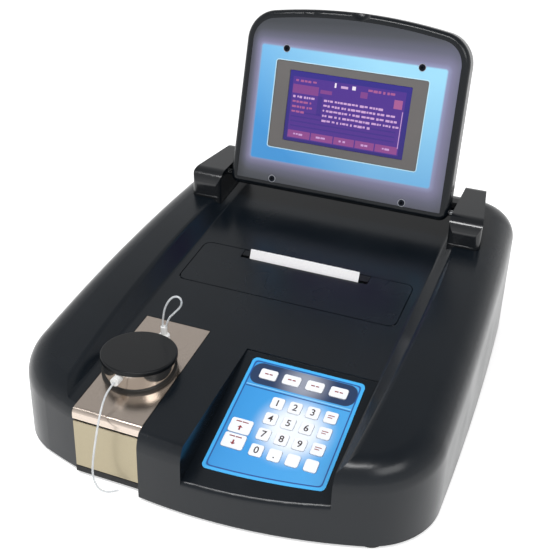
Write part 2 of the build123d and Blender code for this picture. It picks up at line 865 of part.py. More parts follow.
with BuildPart() as lid_rear_shell:
    add(solid_lid)
    add(lid_slab(-5, -5, lid_split + lid_seam / 2), mode=Mode.SUBTRACT)
    add(lid_slab(cavity_inset, 0, lid_thickness - lid_wall), mode=Mode.SUBTRACT)
    for u, v in lid_screw_points:
        add(lid_rod(u, v, shell_floor + 0.1, lid_thickness - 1, 4.5))
        add(lid_rod(u, v, 0, lid_thickness - 3, screw_radius), mode=Mode.SUBTRACT)
    for side in (-1, 1):
        u_in = side * (lid_half_bottom - hinge_boss_length)
        u_out = side * (lid_half_bottom - 1.5)
        u_low = min(u_in, u_out)
        u_high = max(u_in, u_out)
        boss = lid_box(u_low, u_high, 1, 2 * hinge_up + 0.5, lid_split + 1, lid_thickness - 1)
        with BuildPart(mode=Mode.PRIVATE) as kept_boss:
            add(boss)
            add(solid_lid, mode=Mode.INTERSECT)
        add(kept_boss.part)
    for side in (-1, 1):
        bore_in = (side * (lid_half_bottom - hinge_boss_length + 3), hinge_y, hinge_z)
        bore_out = (side * (lid_half_bottom + 5), hinge_y, hinge_z)
        add(rod(bore_in, bore_out, hinge_pin_radius + running), mode=Mode.SUBTRACT)
finish(lid_rear_shell.part, "lid_rear_shell")

with BuildPart() as display_overlay:
    add(lid_slab(overlay_inset, 0, overlay_thickness))
    add(
        lid_box(-bezel_half_width, bezel_half_width, bezel_bottom, bezel_top, -1, 2, 2.0), mode=Mode.SUBTRACT
    )
    for u, v in lid_screw_points:
        add(lid_rod(u, v, -1, 2, head_radius + 0.2), mode=Mode.SUBTRACT)
    add(thumb_scoop(), mode=Mode.SUBTRACT)
finish(display_overlay.part, "display_overlay")

with BuildPart() as lcd_module:
    add(
        lid_box(
            -bezel_half_width + window_gap,
            bezel_half_width - window_gap,
            bezel_bottom + window_gap,
            bezel_top - window_gap,
            0.5,
            lcd_depth,
            2.0,
        )
    )
    add(
        lid_box(
            -bezel_half_width - lcd_flange,
            bezel_half_width + lcd_flange,
            bezel_bottom - lcd_flange,
            bezel_top + lcd_flange,
            shell_floor + 0.1,
            shell_floor + 2.1,
        )
    )
    add(
        lid_box(-screen_half_width, screen_half_width, screen_bottom, screen_top, 0, 1.7, 1.0),
        mode=Mode.SUBTRACT,
    )
finish(lcd_module.part, "lcd_module")

with BuildPart() as lid_screws:
    for u, v in lid_screw_points:
        add(lid_rod(u, v, -0.5, overlay_thickness, head_radius))
        add(lid_rod(u, v, overlay_thickness, lid_thickness - 4, screw_radius - 0.05))
    domes = lid_screws.edges().sort_by(Axis(lid_origin, lid_out))[-4:]
    fillet(domes, 0.4)
finish(lid_screws.part, "lid_screws")


# ---- sampler: plate, sip plate, well, cap, flow cell, fittings ----
def deck_cut(level):
    """Everything under a plane that lies this far above the deck, near the well."""
    return deck_slab(-half_width, half_width, -body_depth, 0, -body_depth, level)


well_v = well_y / math.cos(math.radians(deck_angle))
top_rear = deck_height(plate_rear)
top_front = deck_height(plate_front)
drop = sheet / math.cos(math.radians(deck_angle))

with BuildPart() as sampler_plate:
    with BuildSketch(Plane.YZ.offset(plate_left)) as section:
        with BuildLine():
            Polyline(
                (plate_rear, top_rear),
                (plate_front, top_front),
                (plate_front, plate_lip),
                (plate_front + sheet, plate_lip),
                (plate_front + sheet, deck_height(plate_front + sheet) - drop),
                (plate_rear, top_rear - drop),
                close=True,
            )
        make_face()
        bend_outside = Vector(plate_front, top_front, 0)
        nearest = section.vertices().sort_by(lambda v: (Vector(v) - bend_outside).length)
        fillet(nearest[1], plate_bend - sheet)
        fillet(section.vertices().sort_by(lambda v: (Vector(v) - bend_outside).length)[0], plate_bend)
    extrude(amount=plate_right - plate_left)
    add(rod((well_x, well_y, 30), (well_x, well_y, 100), cell_radius + 2), mode=Mode.SUBTRACT)
finish(sampler_plate.part, "sampler_plate")

with BuildPart() as sip_plate:
    add(box(plate_left + 0.4, plate_right - 0.4, plate_front, plate_front + sheet, sill + 0.3, sip_top))
    fillet(sip_plate.edges().filter_by(Axis.X).group_by(Axis.Y)[0], 0.7)
    for x in guide_places:
        add(rod((x, plate_front + sheet, guide_z), (x, guide_end - sip_travel - 1, guide_z), guide_radius))
finish(sip_plate.part, "sip_plate")

with BuildPart() as well_gasket:
    add(rod((well_x, well_y, 40), (well_x, well_y, 90), gasket_radius))
    add(rod((well_x, well_y, 40), (well_x, well_y, 90), collar_radius - collar_wall), mode=Mode.SUBTRACT)
    add(deck_cut(gasket_height), mode=Mode.INTERSECT)
    add(deck_cut(0), mode=Mode.SUBTRACT)
finish(well_gasket.part, "well_gasket")

ledge_radius = cell_radius + 1.0
with BuildPart() as well_collar:
    add(rod((well_x, well_y, 40), (well_x, well_y, collar_top), collar_radius))
    add(rod((well_x, well_y, 40), (well_x, well_y, 90), ledge_radius), mode=Mode.SUBTRACT)
    add(
        rod(
            (well_x, well_y, collar_top - cap_spigot - cell_flange - 0.4),
            (well_x, well_y, 90),
            collar_radius - collar_wall,
        ),
        mode=Mode.SUBTRACT,
    )
    add(deck_cut(gasket_height), mode=Mode.SUBTRACT)
finish(well_collar.part, "well_collar")

with BuildPart() as flow_cell:
    flange_top = collar_top - cap_spigot - 0.2
    add(rod((well_x, well_y, cell_foot), (well_x, well_y, flange_top), cell_radius))
    add(
        rod(
            (well_x, well_y, flange_top - cell_flange),
            (well_x, well_y, flange_top),
            collar_radius - collar_wall - 0.3,
        )
    )
    add(rod((beam_x, well_y, beam_z), (beam_x, well_y + 30, beam_z), 4.0), mode=Mode.SUBTRACT)
finish(flow_cell.part, "flow_cell")

with BuildPart() as flow_cell_cap:
    add(rod((well_x, well_y, collar_top), (well_x, well_y, collar_top + cap_thickness), cap_radius))
    fillet(flow_cell_cap.edges().group_by(Axis.Z)[-1], 1.2)
    fillet(flow_cell_cap.edges().group_by(Axis.Z)[0], 0.5)
    add(
        rod(
            (well_x, well_y, collar_top - cap_spigot),
            (well_x, well_y, collar_top + 1),
            collar_radius - collar_wall - 0.2,
        )
    )
finish(flow_cell_cap.part, "flow_cell_cap")

# ---- free tubes: their routes, end to end ----
sipper_route = [
    (-73.0, -166.5, 76.2),
    (-74.2, -176.0, 73.5),
    (-72.3, -187.0, 68.5),
    (-69.3, -198.0, 61.0),
    (-68.6, -205.0, 47.0),
    (-70.3, -207.3, 31.0),
    (-71.6, -206.5, 16.5),
    (-68.8, -204.5, 4.5),
    (-62.0, -201.5, 1.6),
    (-56.0, -197.0, 2.6),
]
loop_route = [
    (-69.0, -100.0, 86.2),
    (-68.2, -100.2, 97.0),
    (-65.5, -100.5, 108.0),
    (-59.5, -100.5, 117.5),
    (-52.5, -100.0, 118.5),
    (-51.5, -99.5, 111.0),
    (-58.0, -99.5, 103.0),
    (-64.5, -99.8, 95.5),
    (-66.2, -100.0, 86.2),
]


def bend_radii(route):
    """The largest smooth bend at each inner point that leaves its runs a straight middle."""
    points = [Vector(*p) for p in route]
    radii = []
    for before, here, after in zip(points, points[1:], points[2:]):
        run_in = here - before
        run_out = after - here
        half_turn = math.radians(run_in.get_angle(run_out)) / 2
        radii.append(0.45 * min(run_in.length, run_out.length) / math.tan(half_turn))
    return radii


def free_tube(route, name):
    with BuildPart() as tube:
        with BuildLine() as path:
            FilletPolyline(*route, radius=bend_radii(route))
        with BuildSketch(Plane(origin=path.wire() @ 0, z_dir=path.wire() % 0)):
            Circle(tube_radius)
        sweep()
    length = path.wire().length
    full = math.pi * tube_radius ** 2 * length
    print(name, "length", round(length, 1), "least bend", round(min(bend_radii(route)), 1),
          "volume against section x length", round(tube.part.volume / full, 3))
    return tube.part


with BuildPart() as sipper_tube:
    add(free_tube(sipper_route, "sipper_tube"))
finish(sipper_tube.part, "sipper_tube")

with BuildPart() as return_loop:
    add(free_tube(loop_route, "return_loop"))
finish(return_loop.part, "return_loop")

with BuildPart() as tube_fittings:
    ferrule_start = (ferrule_x, well_y - collar_radius + 1.2, ferrule_z)
    add(rod(ferrule_start, (ferrule_x, ferrule_tip, ferrule_z), ferrule_radius))
    add(rod((union_x, union_y, 60), (union_x, union_y, union_shoulder), union_radius))
    add(rod((union_x, union_y, union_shoulder), (union_x, union_y, stem_top), stem_radius))
    neck_z = collar_top - 2.0
    add(rod((union_x, well_y + collar_radius - 1.2, neck_z), (union_x, union_y, neck_z), 1.6))
    shoulder = tube_fittings.edges().filter_by(GeomType.CIRCLE)
    shoulder = shoulder.filter_by(lambda e: abs(e.center().Z - union_shoulder) < 0.1)
    fillet(shoulder.filter_by(lambda e: e.radius > stem_radius + 0.5), 1.4)
    add(deck_cut(0.3), mode=Mode.SUBTRACT)
    add(rod((well_x, well_y, 60), (well_x, well_y, 90), collar_radius + 0.05), mode=Mode.SUBTRACT)
    for point, after in ((loop_route[0], loop_route[1]), (loop_route[-1], loop_route[-2])):
        start = Vector(*point)
        way = (Vector(*after) - start).normalized()
        add(rod(start - way * 0.2, start + way * 4, tube_radius + 0.1), mode=Mode.SUBTRACT)
    start = Vector(*sipper_route[0])
    way = (Vector(*sipper_route[1]) - start).normalized()
    add(rod(start - way * 0.2, start + way * 6, tube_radius + 0.1), mode=Mode.SUBTRACT)
finish(tube_fittings.part, "tube_fittings")


# ---- printer: cover, frame, platen, roll, strip, tear bar ----
def deck_point(x, v, w):
    return deck_plane.from_local_coords((x, v, w))


with BuildPart() as printer_cover:
    add(cover_slab(0, -cover_thickness, 0))
    add(
        deck_slab(-slot_half_width, slot_half_width, slot_front, cover_rear + 5, -20, 5), mode=Mode.SUBTRACT
    )
    for side in (-1, 1):
        add(
            rod(
                deck_point(side * (cover_half_width - 4), pivot_v, pivot_w),
                deck_point(side * (cover_half_width + cover_gap + 1.8), pivot_v, pivot_w),
                cover_pin_radius,
            )
        )
finish(printer_cover.part, "printer_cover")

frame_outer = frame_inner + frame_wall
tray_floor = roll_z - roll_radius - rest_gap
tray_front = roll_y - roll_radius - 3.0
platen_y = paper_y + paper_thickness / 2 + 0.3 + platen_radius
tray_rear = platen_y + platen_radius + 4.0
frame_clear = 3.6           # from the deck's surface down to the frame's upper edge
post_size = 8.0

with BuildPart() as printer_frame:
    with BuildSketch(Plane.YZ):
        with BuildLine():
            Polyline(
                (tray_front, tray_floor - 2),
                (tray_rear, tray_floor - 2),
                (tray_rear, deck_height(tray_rear) - 2 * frame_clear),
                (cover_rear - 3.5, deck_height(cover_rear - 3.5) - 2 * frame_clear),
                (cover_rear - 3.5, deck_height(cover_rear - 3.5) - frame_clear),
                (cover_front + 9, deck_height(cover_front + 9) - frame_clear),
                (tray_front, tray_floor + 14),
                close=True,
            )
        make_face()
    extrude(amount=frame_outer, both=True)
    add(box(-frame_inner, frame_inner, tray_front - 5, tray_rear + 5, tray_floor, 120), mode=Mode.SUBTRACT)
    for x in (-frame_outer + post_size / 2, frame_outer - post_size / 2):
        for y in (tray_front + post_size / 2, tray_rear - post_size / 2):
            half = post_size / 2
            add(box(x - half, x + half, y - half, y + half, pan_top, tray_floor - 1))
    shaft_start = (-frame_outer - 5, platen_y, platen_z)
    shaft_end = (frame_outer + 5, platen_y, platen_z)
    add(rod(shaft_start, shaft_end, platen_shaft + running), mode=Mode.SUBTRACT)
finish(printer_frame.part, "printer_frame")

with BuildPart() as platen_roller:
    add(rod((-frame_inner + 1, platen_y, platen_z), (frame_inner - 1, platen_y, platen_z), platen_radius))
    add(rod((-frame_outer, platen_y, platen_z), (frame_outer, platen_y, platen_z), platen_shaft))
    add(rod((frame_outer, platen_y, platen_z), (frame_outer + 5, platen_y, platen_z), platen_radius + 1))
finish(platen_roller.part, "platen_roller")

with BuildPart() as paper_roll:
    add(rod((-paper_half_width, roll_y, roll_z), (paper_half_width, roll_y, roll_z), roll_radius))
    add(
        rod((-paper_half_width - 1, roll_y, roll_z), (paper_half_width + 1, roll_y, roll_z), core_radius),
        mode=Mode.SUBTRACT,
    )
finish(paper_roll.part, "paper_roll")

paper_bend_z = deck_height(paper_y)
tilt = math.tan(math.radians(paper_lean))
half_paper = paper_thickness / 2
with BuildPart() as paper_strip:
    with BuildSketch(Plane.YZ):
        with BuildLine():
            Polyline(
                (paper_y - half_paper, paper_end),
                (paper_y + half_paper, paper_end),
                (paper_y + half_paper, paper_bend_z),
                (paper_y + half_paper + tilt * paper_stand, paper_bend_z + paper_stand),
                (paper_y - half_paper + tilt * paper_stand, paper_bend_z + paper_stand),
                (paper_y - half_paper, paper_bend_z),
                close=True,
            )
        make_face()
    extrude(amount=paper_half_width, both=True)
finish(paper_strip.part, "paper_strip")

bar_front = paper_y + half_paper + 1.0
with BuildPart() as tear_bar:
    add(
        deck_slab(
            -slot_half_width + 0.6, slot_half_width - 0.6, bar_front, cover_rear - 0.2, -bar_thickness, 0
        )
    )
    for side in (-1, 1):
        inner_x = side * (frame_inner + 0.2)
        outer_x = side * (frame_outer - 0.2)
        add(
            deck_slab(
                min(inner_x, outer_x),
                max(inner_x, outer_x),
                bar_front,
                cover_rear - 4,
                -frame_clear + 0.1,
                -1,
            )
        )
finish(tear_bar.part, "tear_bar")

# ---- keypad: plate with its windows, board, keys ----
key_columns = [key_first_x + i * key_pitch for i in range(4)]
key_rows = [key_first_v - i * key_pitch for i in range(4)]
soft_key_columns = [soft_key_first_x + i * soft_key_pitch for i in range(4)]
key_list = []
for row, v in enumerate(key_rows):
    for column, x in enumerate(key_columns):
        key_list.append(("key_row_%d_%d" % (row + 1, column + 1), x, v, key_size, key_size))
for column, x in enumerate(soft_key_columns):
    key_list.append(("soft_key_%d" % (column + 1), x, soft_key_v, soft_key_width, soft_key_height))
for i in range(2):
    v = wide_key_v - i * wide_key_pitch
    key_list.append(("wide_key_%d" % (i + 1), wide_key_x, v, wide_key_width, wide_key_height))

flange_thickness = 1.0
flange_gap = 0.1
key_foot = pad_thickness + flange_gap + flange_thickness
board_face = key_foot + key_travel + 0.2
rib_inset = pad_ledge + 0.3


def pad_block(x, v, width, height, w0, w1, corner):
    with BuildPart() as block:
        with BuildSketch(pad_plane.offset(w0)):
            with Locations((x, v)):
                RectangleRounded(width, height, corner)
        extrude(amount=w1 - w0)
    return block.part


with BuildPart() as keypad_plate:
    add(pad_slab(0, -pad_thickness, 0))
    add(pad_slab(rib_inset, -board_face, -pad_thickness))
    add(pad_slab(rib_inset + 0.9, -board_face - 1, -pad_thickness), mode=Mode.SUBTRACT)
    for name, x, v, width, height in key_list:
        window_width = width + 2 * key_gap
        window_height = height + 2 * key_gap
        window_corner = key_round + key_gap
        window = pad_block(x, v, window_width, window_height, -pad_thickness - 1, 1, window_corner)
        add(window, mode=Mode.SUBTRACT)
finish(keypad_plate.part, "keypad_plate")

with BuildPart() as keypad_board:
    add(pad_slab(rib_inset, -board_face - board_thickness, -board_face))
    add(pad_block(60, -50, 34, 10, -board_face - board_thickness - 4, -board_face - 1, 1))
finish(keypad_board.part, "keypad_board")

for name, x, v, width, height in key_list:
    with BuildPart() as key:
        add(pad_block(x, v, width, height, -key_foot, key_rise, key_round))
        fillet(key.faces().sort_by(Axis((0, 0, 0), pad_plane.z_dir))[-1].edges(), 0.4)
        add(
            pad_block(
                x,
                v,
                width + 2 * flange_side,
                height + 2 * flange_end,
                -key_foot,
                -key_foot + flange_thickness,
                key_round,
            )
        )
    finish(key.part, name)

# ---- things inside: optics, pump, board ----
lamp_half = 10.0
lamp_front = -30.0
lamp_rear = 6.0
lamp_top = 70.0
with BuildPart() as lamp_house:
    add(box(beam_x - lamp_half, beam_x + lamp_half, lamp_front, lamp_rear, pan_top, lamp_top))
    add(rod((beam_x, lamp_front - 8, beam_z), (beam_x, lamp_front, beam_z), 7))
    for i in range(5):
        y = lamp_front + 5 + i * 6.5
        add(box(beam_x - 20, beam_x + 20, y, y + 3, lamp_top - 5, lamp_top + 1), mode=Mode.SUBTRACT)
    add(rod((beam_x, lamp_front - 20, beam_z), (beam_x, lamp_rear - 8, beam_z), 4), mode=Mode.SUBTRACT)
finish(lamp_house.part, "lamp_house")

filter_circle = beam_z - wheel_z
with BuildPart() as filter_wheel:
    wheel_front = wheel_y - wheel_thickness / 2
    wheel_back = wheel_y + wheel_thickness / 2
    add(rod((beam_x, wheel_front, wheel_z), (beam_x, wheel_back, wheel_z), wheel_radius))
    for i in range(6):
        turn = math.radians(60 * i)
        x = beam_x + filter_circle * math.sin(turn)
        z = wheel_z + filter_circle * math.cos(turn)
        add(rod((x, wheel_front - 1, z), (x, wheel_y - 1, z), 6), mode=Mode.SUBTRACT)
        add(rod((x, wheel_y + 1, z), (x, wheel_back + 1, z), 6), mode=Mode.SUBTRACT)
    add(
        rod((beam_x, wheel_front - 1, wheel_z), (beam_x, wheel_back + 1, wheel_z), shaft_radius + running),
        mode=Mode.SUBTRACT,
    )
finish(filter_wheel.part, "filter_wheel")

motor_length = 30.0
motor_front = wheel_front - 4.0
with BuildPart() as filter_motor:
    add(rod((beam_x, motor_front - motor_length, wheel_z), (beam_x, motor_front, wheel_z), 13))
    add(rod((beam_x, motor_front, wheel_z), (beam_x, wheel_back + 1, wheel_z), shaft_radius))
    add(box(beam_x - 13, beam_x + 13, motor_front - motor_length + 3, motor_front - 3, pan_top, wheel_z - 8))
finish(filter_motor.part, "filter_motor")

head_front = pump_y - 40.0
head_length = 18.0
with BuildPart() as pump_head:
    head_back = head_front + head_length
    add(rod((pump_x, head_front, pump_z), (pump_x, head_back, pump_z), pump_track + 4))
    add(box(pump_x - 22, pump_x + 22, head_front, head_back, pan_top, pump_z - 10))
    track = rod((pump_x, head_front - 1, pump_z), (pump_x, head_back - 3, pump_z), pump_track)
    add(track, mode=Mode.SUBTRACT)
    shaft_hole = rod((pump_x, head_back - 5, pump_z), (pump_x, head_back + 5, pump_z), shaft_radius + 1)
    add(shaft_hole, mode=Mode.SUBTRACT)
finish(pump_head.part, "pump_head")

with BuildPart() as pump_rotor:
    rotor_front = head_front + 2
    rotor_back = head_back - 4
    add(rod((pump_x, rotor_front, pump_z), (pump_x, rotor_back, pump_z), 9))
    for i in range(3):
        turn = math.radians(120 * i)
        x = pump_x + 12 * math.sin(turn)
        z = pump_z + 12 * math.cos(turn)
        add(rod((x, rotor_front, z), (x, rotor_back, z), 5.5))
    shaft_bore = rod((pump_x, rotor_front + 2, pump_z), (pump_x, rotor_back + 5, pump_z), shaft_radius + running)
    add(shaft_bore, mode=Mode.SUBTRACT)
finish(pump_rotor.part, "pump_rotor")

with BuildPart() as pump_motor:
    add(rod((pump_x, head_back, pump_z), (pump_x, head_back + 46, pump_z), 17))
    add(rod((pump_x, rotor_front + 3, pump_z), (pump_x, head_back, pump_z), shaft_radius))
    add(box(pump_x - 16, pump_x + 16, head_back + 6, head_back + 40, pan_top, pump_z - 8))
finish(pump_motor.part, "pump_motor")

chip_height = 6.0
coil_height = 23.0
can_radius = 6.0
can_height = 19.0
port_length = 20.0
with BuildPart() as main_board:
    board_top = board_level + board_thickness
    add(box(board_left, board_right, board_front, board_rear, board_level, board_top))
    # a coil, a heat sink, three capacitors and the serial port on its bracket
    coil_front = board_front + 20
    chip_front = board_front + 16
    foot = board_top - 1
    add(box(board_left + 12, board_left + 32, coil_front, coil_front + 30, foot, board_top + coil_height))
    add(box(board_right - 46, board_right - 12, chip_front, chip_front + 36, foot, board_top + chip_height))
    for x in (board_left + 12, board_left + 28, board_right - 32):
        y = board_front + 80
        add(rod((x, y, foot), (x, y, board_top + can_height), can_radius))
    add(
        box(
            port_x - port_width / 2,
            port_x + port_width / 2,
            half_depth - port_length,
            half_depth - 0.5,
            port_z - port_height / 2,
            port_z + port_height / 2,
        )
    )
    add(box(port_x - 12, port_x + 12, half_depth - port_length, board_rear, foot, port_z))
finish(main_board.part, "main_board")

# ---- rear panel: power inlet with its rocker ----
socket_x = inlet_x - 8.0
rocker_x = inlet_x + 14.5
rocker_pin = 1.2
module_front = half_depth - panel_recess
rocker_y = half_depth - 7.0
tunnel = rocker_radius + 0.9
with BuildPart() as power_inlet:
    add(
        box(
            inlet_x - inlet_width / 2,
            inlet_x + inlet_width / 2,
            module_front,
            half_depth,
            inlet_z - inlet_height / 2,
            inlet_z + inlet_height / 2,
        )
    )
    add(
        box(
            inlet_x - inlet_width / 2 + 2.3,
            inlet_x + inlet_width / 2 - 2.3,
            half_depth - 26,
            module_front,
            inlet_z - inlet_height / 2 + 2.3,
            inlet_z + inlet_height / 2 - 2.3,
        )
    )
    mouth = box(
        socket_x - 12, socket_x + 12, half_depth - 18, half_depth + 1, inlet_z - 8.2, inlet_z + 8.2
    )
    add(mouth, mode=Mode.SUBTRACT)
    for dx, dz in ((0, 3), (-7, -2.5), (7, -2.5)):
        x = socket_x + dx
        z = inlet_z + dz
        add(box(x - 2, x + 2, half_depth - 19, half_depth - 4, z - 1, z + 1))
    add(
        box(
            rocker_x - rocker_half_width - 0.3,
            rocker_x + rocker_half_width + 0.3,
            half_depth - 20,
            half_depth + 1,
            inlet_z - tunnel,
            inlet_z + tunnel,
        ),
        mode=Mode.SUBTRACT,
    )
    add(
        rod(
            (rocker_x - rocker_half_width - 1.6, rocker_y, inlet_z),
            (rocker_x + rocker_half_width + 1.6, rocker_y, inlet_z),
            rocker_pin + running,
        ),
        mode=Mode.SUBTRACT,
    )
finish(power_inlet.part, "power_inlet")

with BuildPart() as rocker_switch:
    a = math.radians(rocker_tilt)
    rocker_plane = Plane(
        origin=(rocker_x - rocker_half_width, rocker_y, inlet_z),
        x_dir=(0, math.cos(a), math.sin(a)),
        z_dir=(1, 0, 0),
    )
    with BuildSketch(rocker_plane):
        with BuildLine():
            Polyline((8, 8.6), (6.6, 0), (8, -8.6), (-4, -6), (-4, 6), close=True)
        make_face()
    extrude(amount=2 * rocker_half_width)
    add(
        rod(
            (rocker_x - rocker_half_width - 1.3, rocker_y, inlet_z),
            (rocker_x + rocker_half_width + 1.3, rocker_y, inlet_z),
            rocker_pin,
        )
    )
finish(rocker_switch.part, "rocker_switch")
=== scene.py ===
import json
import math
import random

import bmesh
import bpy
from mathutils import Matrix, Vector


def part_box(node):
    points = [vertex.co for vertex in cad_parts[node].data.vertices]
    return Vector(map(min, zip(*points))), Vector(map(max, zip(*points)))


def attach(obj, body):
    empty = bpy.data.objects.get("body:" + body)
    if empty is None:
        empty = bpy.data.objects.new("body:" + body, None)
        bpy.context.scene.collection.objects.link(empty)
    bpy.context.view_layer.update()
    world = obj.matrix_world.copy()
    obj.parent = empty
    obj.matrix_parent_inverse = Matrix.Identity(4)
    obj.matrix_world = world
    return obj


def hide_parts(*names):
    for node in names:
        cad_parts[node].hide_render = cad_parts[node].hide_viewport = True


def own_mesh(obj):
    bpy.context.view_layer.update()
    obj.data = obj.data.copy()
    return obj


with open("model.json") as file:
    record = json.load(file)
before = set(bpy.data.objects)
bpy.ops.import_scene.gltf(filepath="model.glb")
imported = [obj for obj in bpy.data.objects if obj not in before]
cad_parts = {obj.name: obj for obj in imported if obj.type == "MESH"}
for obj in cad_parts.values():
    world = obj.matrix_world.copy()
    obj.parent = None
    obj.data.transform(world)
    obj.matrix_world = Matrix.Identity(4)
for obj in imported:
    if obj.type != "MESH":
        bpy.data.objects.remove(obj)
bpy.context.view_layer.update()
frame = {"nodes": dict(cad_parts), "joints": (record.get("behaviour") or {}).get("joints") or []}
joints = {joint["name"]: joint for joint in frame["joints"]}

# ---- Camera ----
# A plain lens at the photograph's height and distance, a little right of the analyzer and turned
# slightly clockwise, as it was held.
eye = Vector((0.2494, -0.6733, 0.4898))
azimuth, elevation, roll = (math.radians(a) for a in (21.064, 28.759, 2.136))
lens_data = bpy.data.cameras.new("camera")
lens_data.sensor_width = 36.0
lens_data.lens = 62.32
camera = bpy.data.objects.new("camera", lens_data)
camera.matrix_world = (
    Matrix.Translation(eye)
    @ Matrix.Rotation(azimuth, 4, "Z")
    @ Matrix.Rotation(math.pi / 2 - elevation, 4, "X")
    @ Matrix.Rotation(roll, 4, "Z")
)
bpy.context.scene.collection.objects.link(camera)
bpy.context.scene.camera = camera
bpy.context.scene.view_settings.view_transform = "Standard"


# ---- Sipper tube and return loop ----
# Fine fluoropolymer tube, 1.6 mm across: extruded, so smooth, milky clear and springy. One length
# hangs from the flow cell's front port to the table, the other makes a small loop on the rear union.
def srgb(code):
    """An sRGB hex colour as the linear RGBA that shaders take."""
    channels = [int(code[i:i + 2], 16) / 255 for i in (0, 2, 4)]
    return [c / 12.92 if c <= 0.04045 else ((c + 0.055) / 1.055) ** 2.4 for c in channels] + [1.0]


def add_node(tree, kind, inputs, **settings):
    """Adds a node with its settings. An input is a value, or the node or socket that is linked to it."""
    node = tree.nodes.new(kind)
    for name, value in settings.items():
        setattr(node, name, value)
    for socket, value in inputs.items():
        if isinstance(value, bpy.types.Node):
            value = next(out for out in value.outputs if out.enabled)
        if isinstance(value, bpy.types.NodeSocket):
            tree.links.new(value, node.inputs[socket])
        else:
            node.inputs[socket].default_value = value
    return node


def new_material(name):
    """A node material: returns it with its tree and the node of its surface."""
    material = bpy.data.materials.new(name)
    material.use_nodes = True
    return material, material.node_tree, material.node_tree.nodes["Principled BSDF"]


def extruded_fluoropolymer():
    """PTFE and FEP look alike at this size: milky, waxy, with light carried along inside."""
    material, tree, surface = new_material("extruded_fluoropolymer")
    place = add_node(tree, "ShaderNodeTexCoord", {})
    cloud = add_node(tree, "ShaderNodeTexNoise", {"Vector": place.outputs["Object"], "Scale": 1 / 0.006})
    tint = add_node(tree, "ShaderNodeMix", {0: cloud, 6: srgb("dfe4e8"), 7: srgb("f6f8fa")}, data_type="RGBA")
    tree.links.new(tint.outputs[2], surface.inputs["Base Color"])
    surface.inputs["Roughness"].default_value = 0.22
    surface.inputs["IOR"].default_value = 1.36
    surface.inputs["Transmission Weight"].default_value = 0.35
    surface.inputs["Coat Weight"].default_value = 0.4
    return material


tube_diameter = 0.0016
sipper_route = [
    (-73.0, -166.5, 76.2),
    (-74.2, -176.0, 73.5),
    (-72.3, -187.0, 68.5),
    (-69.3, -198.0, 61.0),
    (-68.6, -205.0, 47.0),
    (-70.3, -207.3, 31.0),
    (-71.6, -206.5, 16.5),
    (-68.8, -204.5, 4.5),
    (-62.0, -201.5, 1.6),
    (-56.0, -197.0, 2.6),
]
loop_route = [
    (-69.0, -100.0, 86.2),
    (-68.2, -100.2, 97.0),
    (-65.5, -100.5, 108.0),
    (-59.5, -100.5, 117.5),
    (-52.5, -100.0, 118.5),
    (-51.5, -99.5, 111.0),
    (-58.0, -99.5, 103.0),
    (-64.5, -99.8, 95.5),
    (-66.2, -100.0, 86.2),
]
fluoropolymer = extruded_fluoropolymer()


def free_tube(name, route, node):
    """One tube on its route, a smooth spline with the route's points as its control points."""
    curve = bpy.data.curves.new(name, "CURVE")
    curve.dimensions = "3D"
    spline = curve.splines.new("NURBS")
    spline.points.add(len(route) - 1)
    for point, place in zip(spline.points, route):
        point.co = (*(c / 1000 for c in place), 1.0)
    spline.order_u = 3
    spline.use_endpoint_u = True
    curve.resolution_u = 16
    curve.bevel_depth = tube_diameter / 2
    curve.bevel_resolution = 5
    curve.use_fill_caps = True
    curve.materials.append(fluoropolymer)
    tube = bpy.data.objects.new(name, curve)
    bpy.context.scene.collection.objects.link(tube)
    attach(tube, "base")
    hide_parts(node)
    return tube


free_tube("sipper_tube_soft", sipper_route, "sipper_tube")
free_tube("return_loop_soft", loop_route, "return_loop")

# ---- Studio ----
# A white floor and white walls under a dimmer ceiling, as round a light table. One long soft box hangs
# over the front and picks out the rounded edges that run across, a weaker one fills in from the right.
floor_mesh = bpy.data.meshes.new("floor")
shape = bmesh.new()
bmesh.ops.create_grid(shape, x_segments=2, y_segments=2, size=4.0)
shape.to_mesh(floor_mesh)
shape.free()
floor = bpy.data.objects.new("floor", floor_mesh)
bpy.context.scene.collection.objects.link(floor)
floor_material, floor_tree, floor_surface = new_material("matt_white_laminate")
floor_surface.inputs["Base Color"].default_value = srgb("ffffff")
floor_surface.inputs["Roughness"].default_value = 0.9
floor.data.materials.append(floor_material)


def seen_directly(tree):
    """1 for what the camera, a mirror or a glass shows, 0 for the light that falls on the object."""
    ray = add_node(tree, "ShaderNodeLightPath", {})
    seen = ray.outputs["Is Camera Ray"]
    for other in ("Is Glossy Ray", "Is Transmission Ray"):
        seen = add_node(tree, "ShaderNodeMath", {0: seen, 1: ray.outputs[other]}, operation="MAXIMUM")
    return seen


# the laminate is lit from below as well, as a light table is, so that it shows white and its shadows pale
floor_surface.inputs["Emission Color"].default_value = srgb("ffffff")
table_glow = add_node(floor_tree, "ShaderNodeMath", {0: seen_directly(floor_tree), 1: 0.52}, operation="MULTIPLY")
floor_tree.links.new(table_glow.outputs[0], floor_surface.inputs["Emission Strength"])

world = bpy.data.worlds.new("studio_air")
bpy.context.scene.world = world
world.use_nodes = True
air = world.node_tree
air.nodes.clear()
direction = add_node(air, "ShaderNodeTexCoord", {})
height = add_node(air, "ShaderNodeSeparateXYZ", {0: direction.outputs["Generated"]})
room = add_node(
    air,
    "ShaderNodeMapRange",
    {"Value": height.outputs["Z"], "From Min": 0.15, "From Max": 1.0, "To Min": 1.0, "To Max": 0.3},
)
level = add_node(air, "ShaderNodeMix", {0: seen_directly(air), 2: 0.5, 3: room.outputs[0]}, data_type="FLOAT")
background = add_node(air, "ShaderNodeBackground", {"Color": srgb("ffffff"), "Strength": level.outputs[0]})
add_node(air, "ShaderNodeOutputWorld", {"Surface": background})


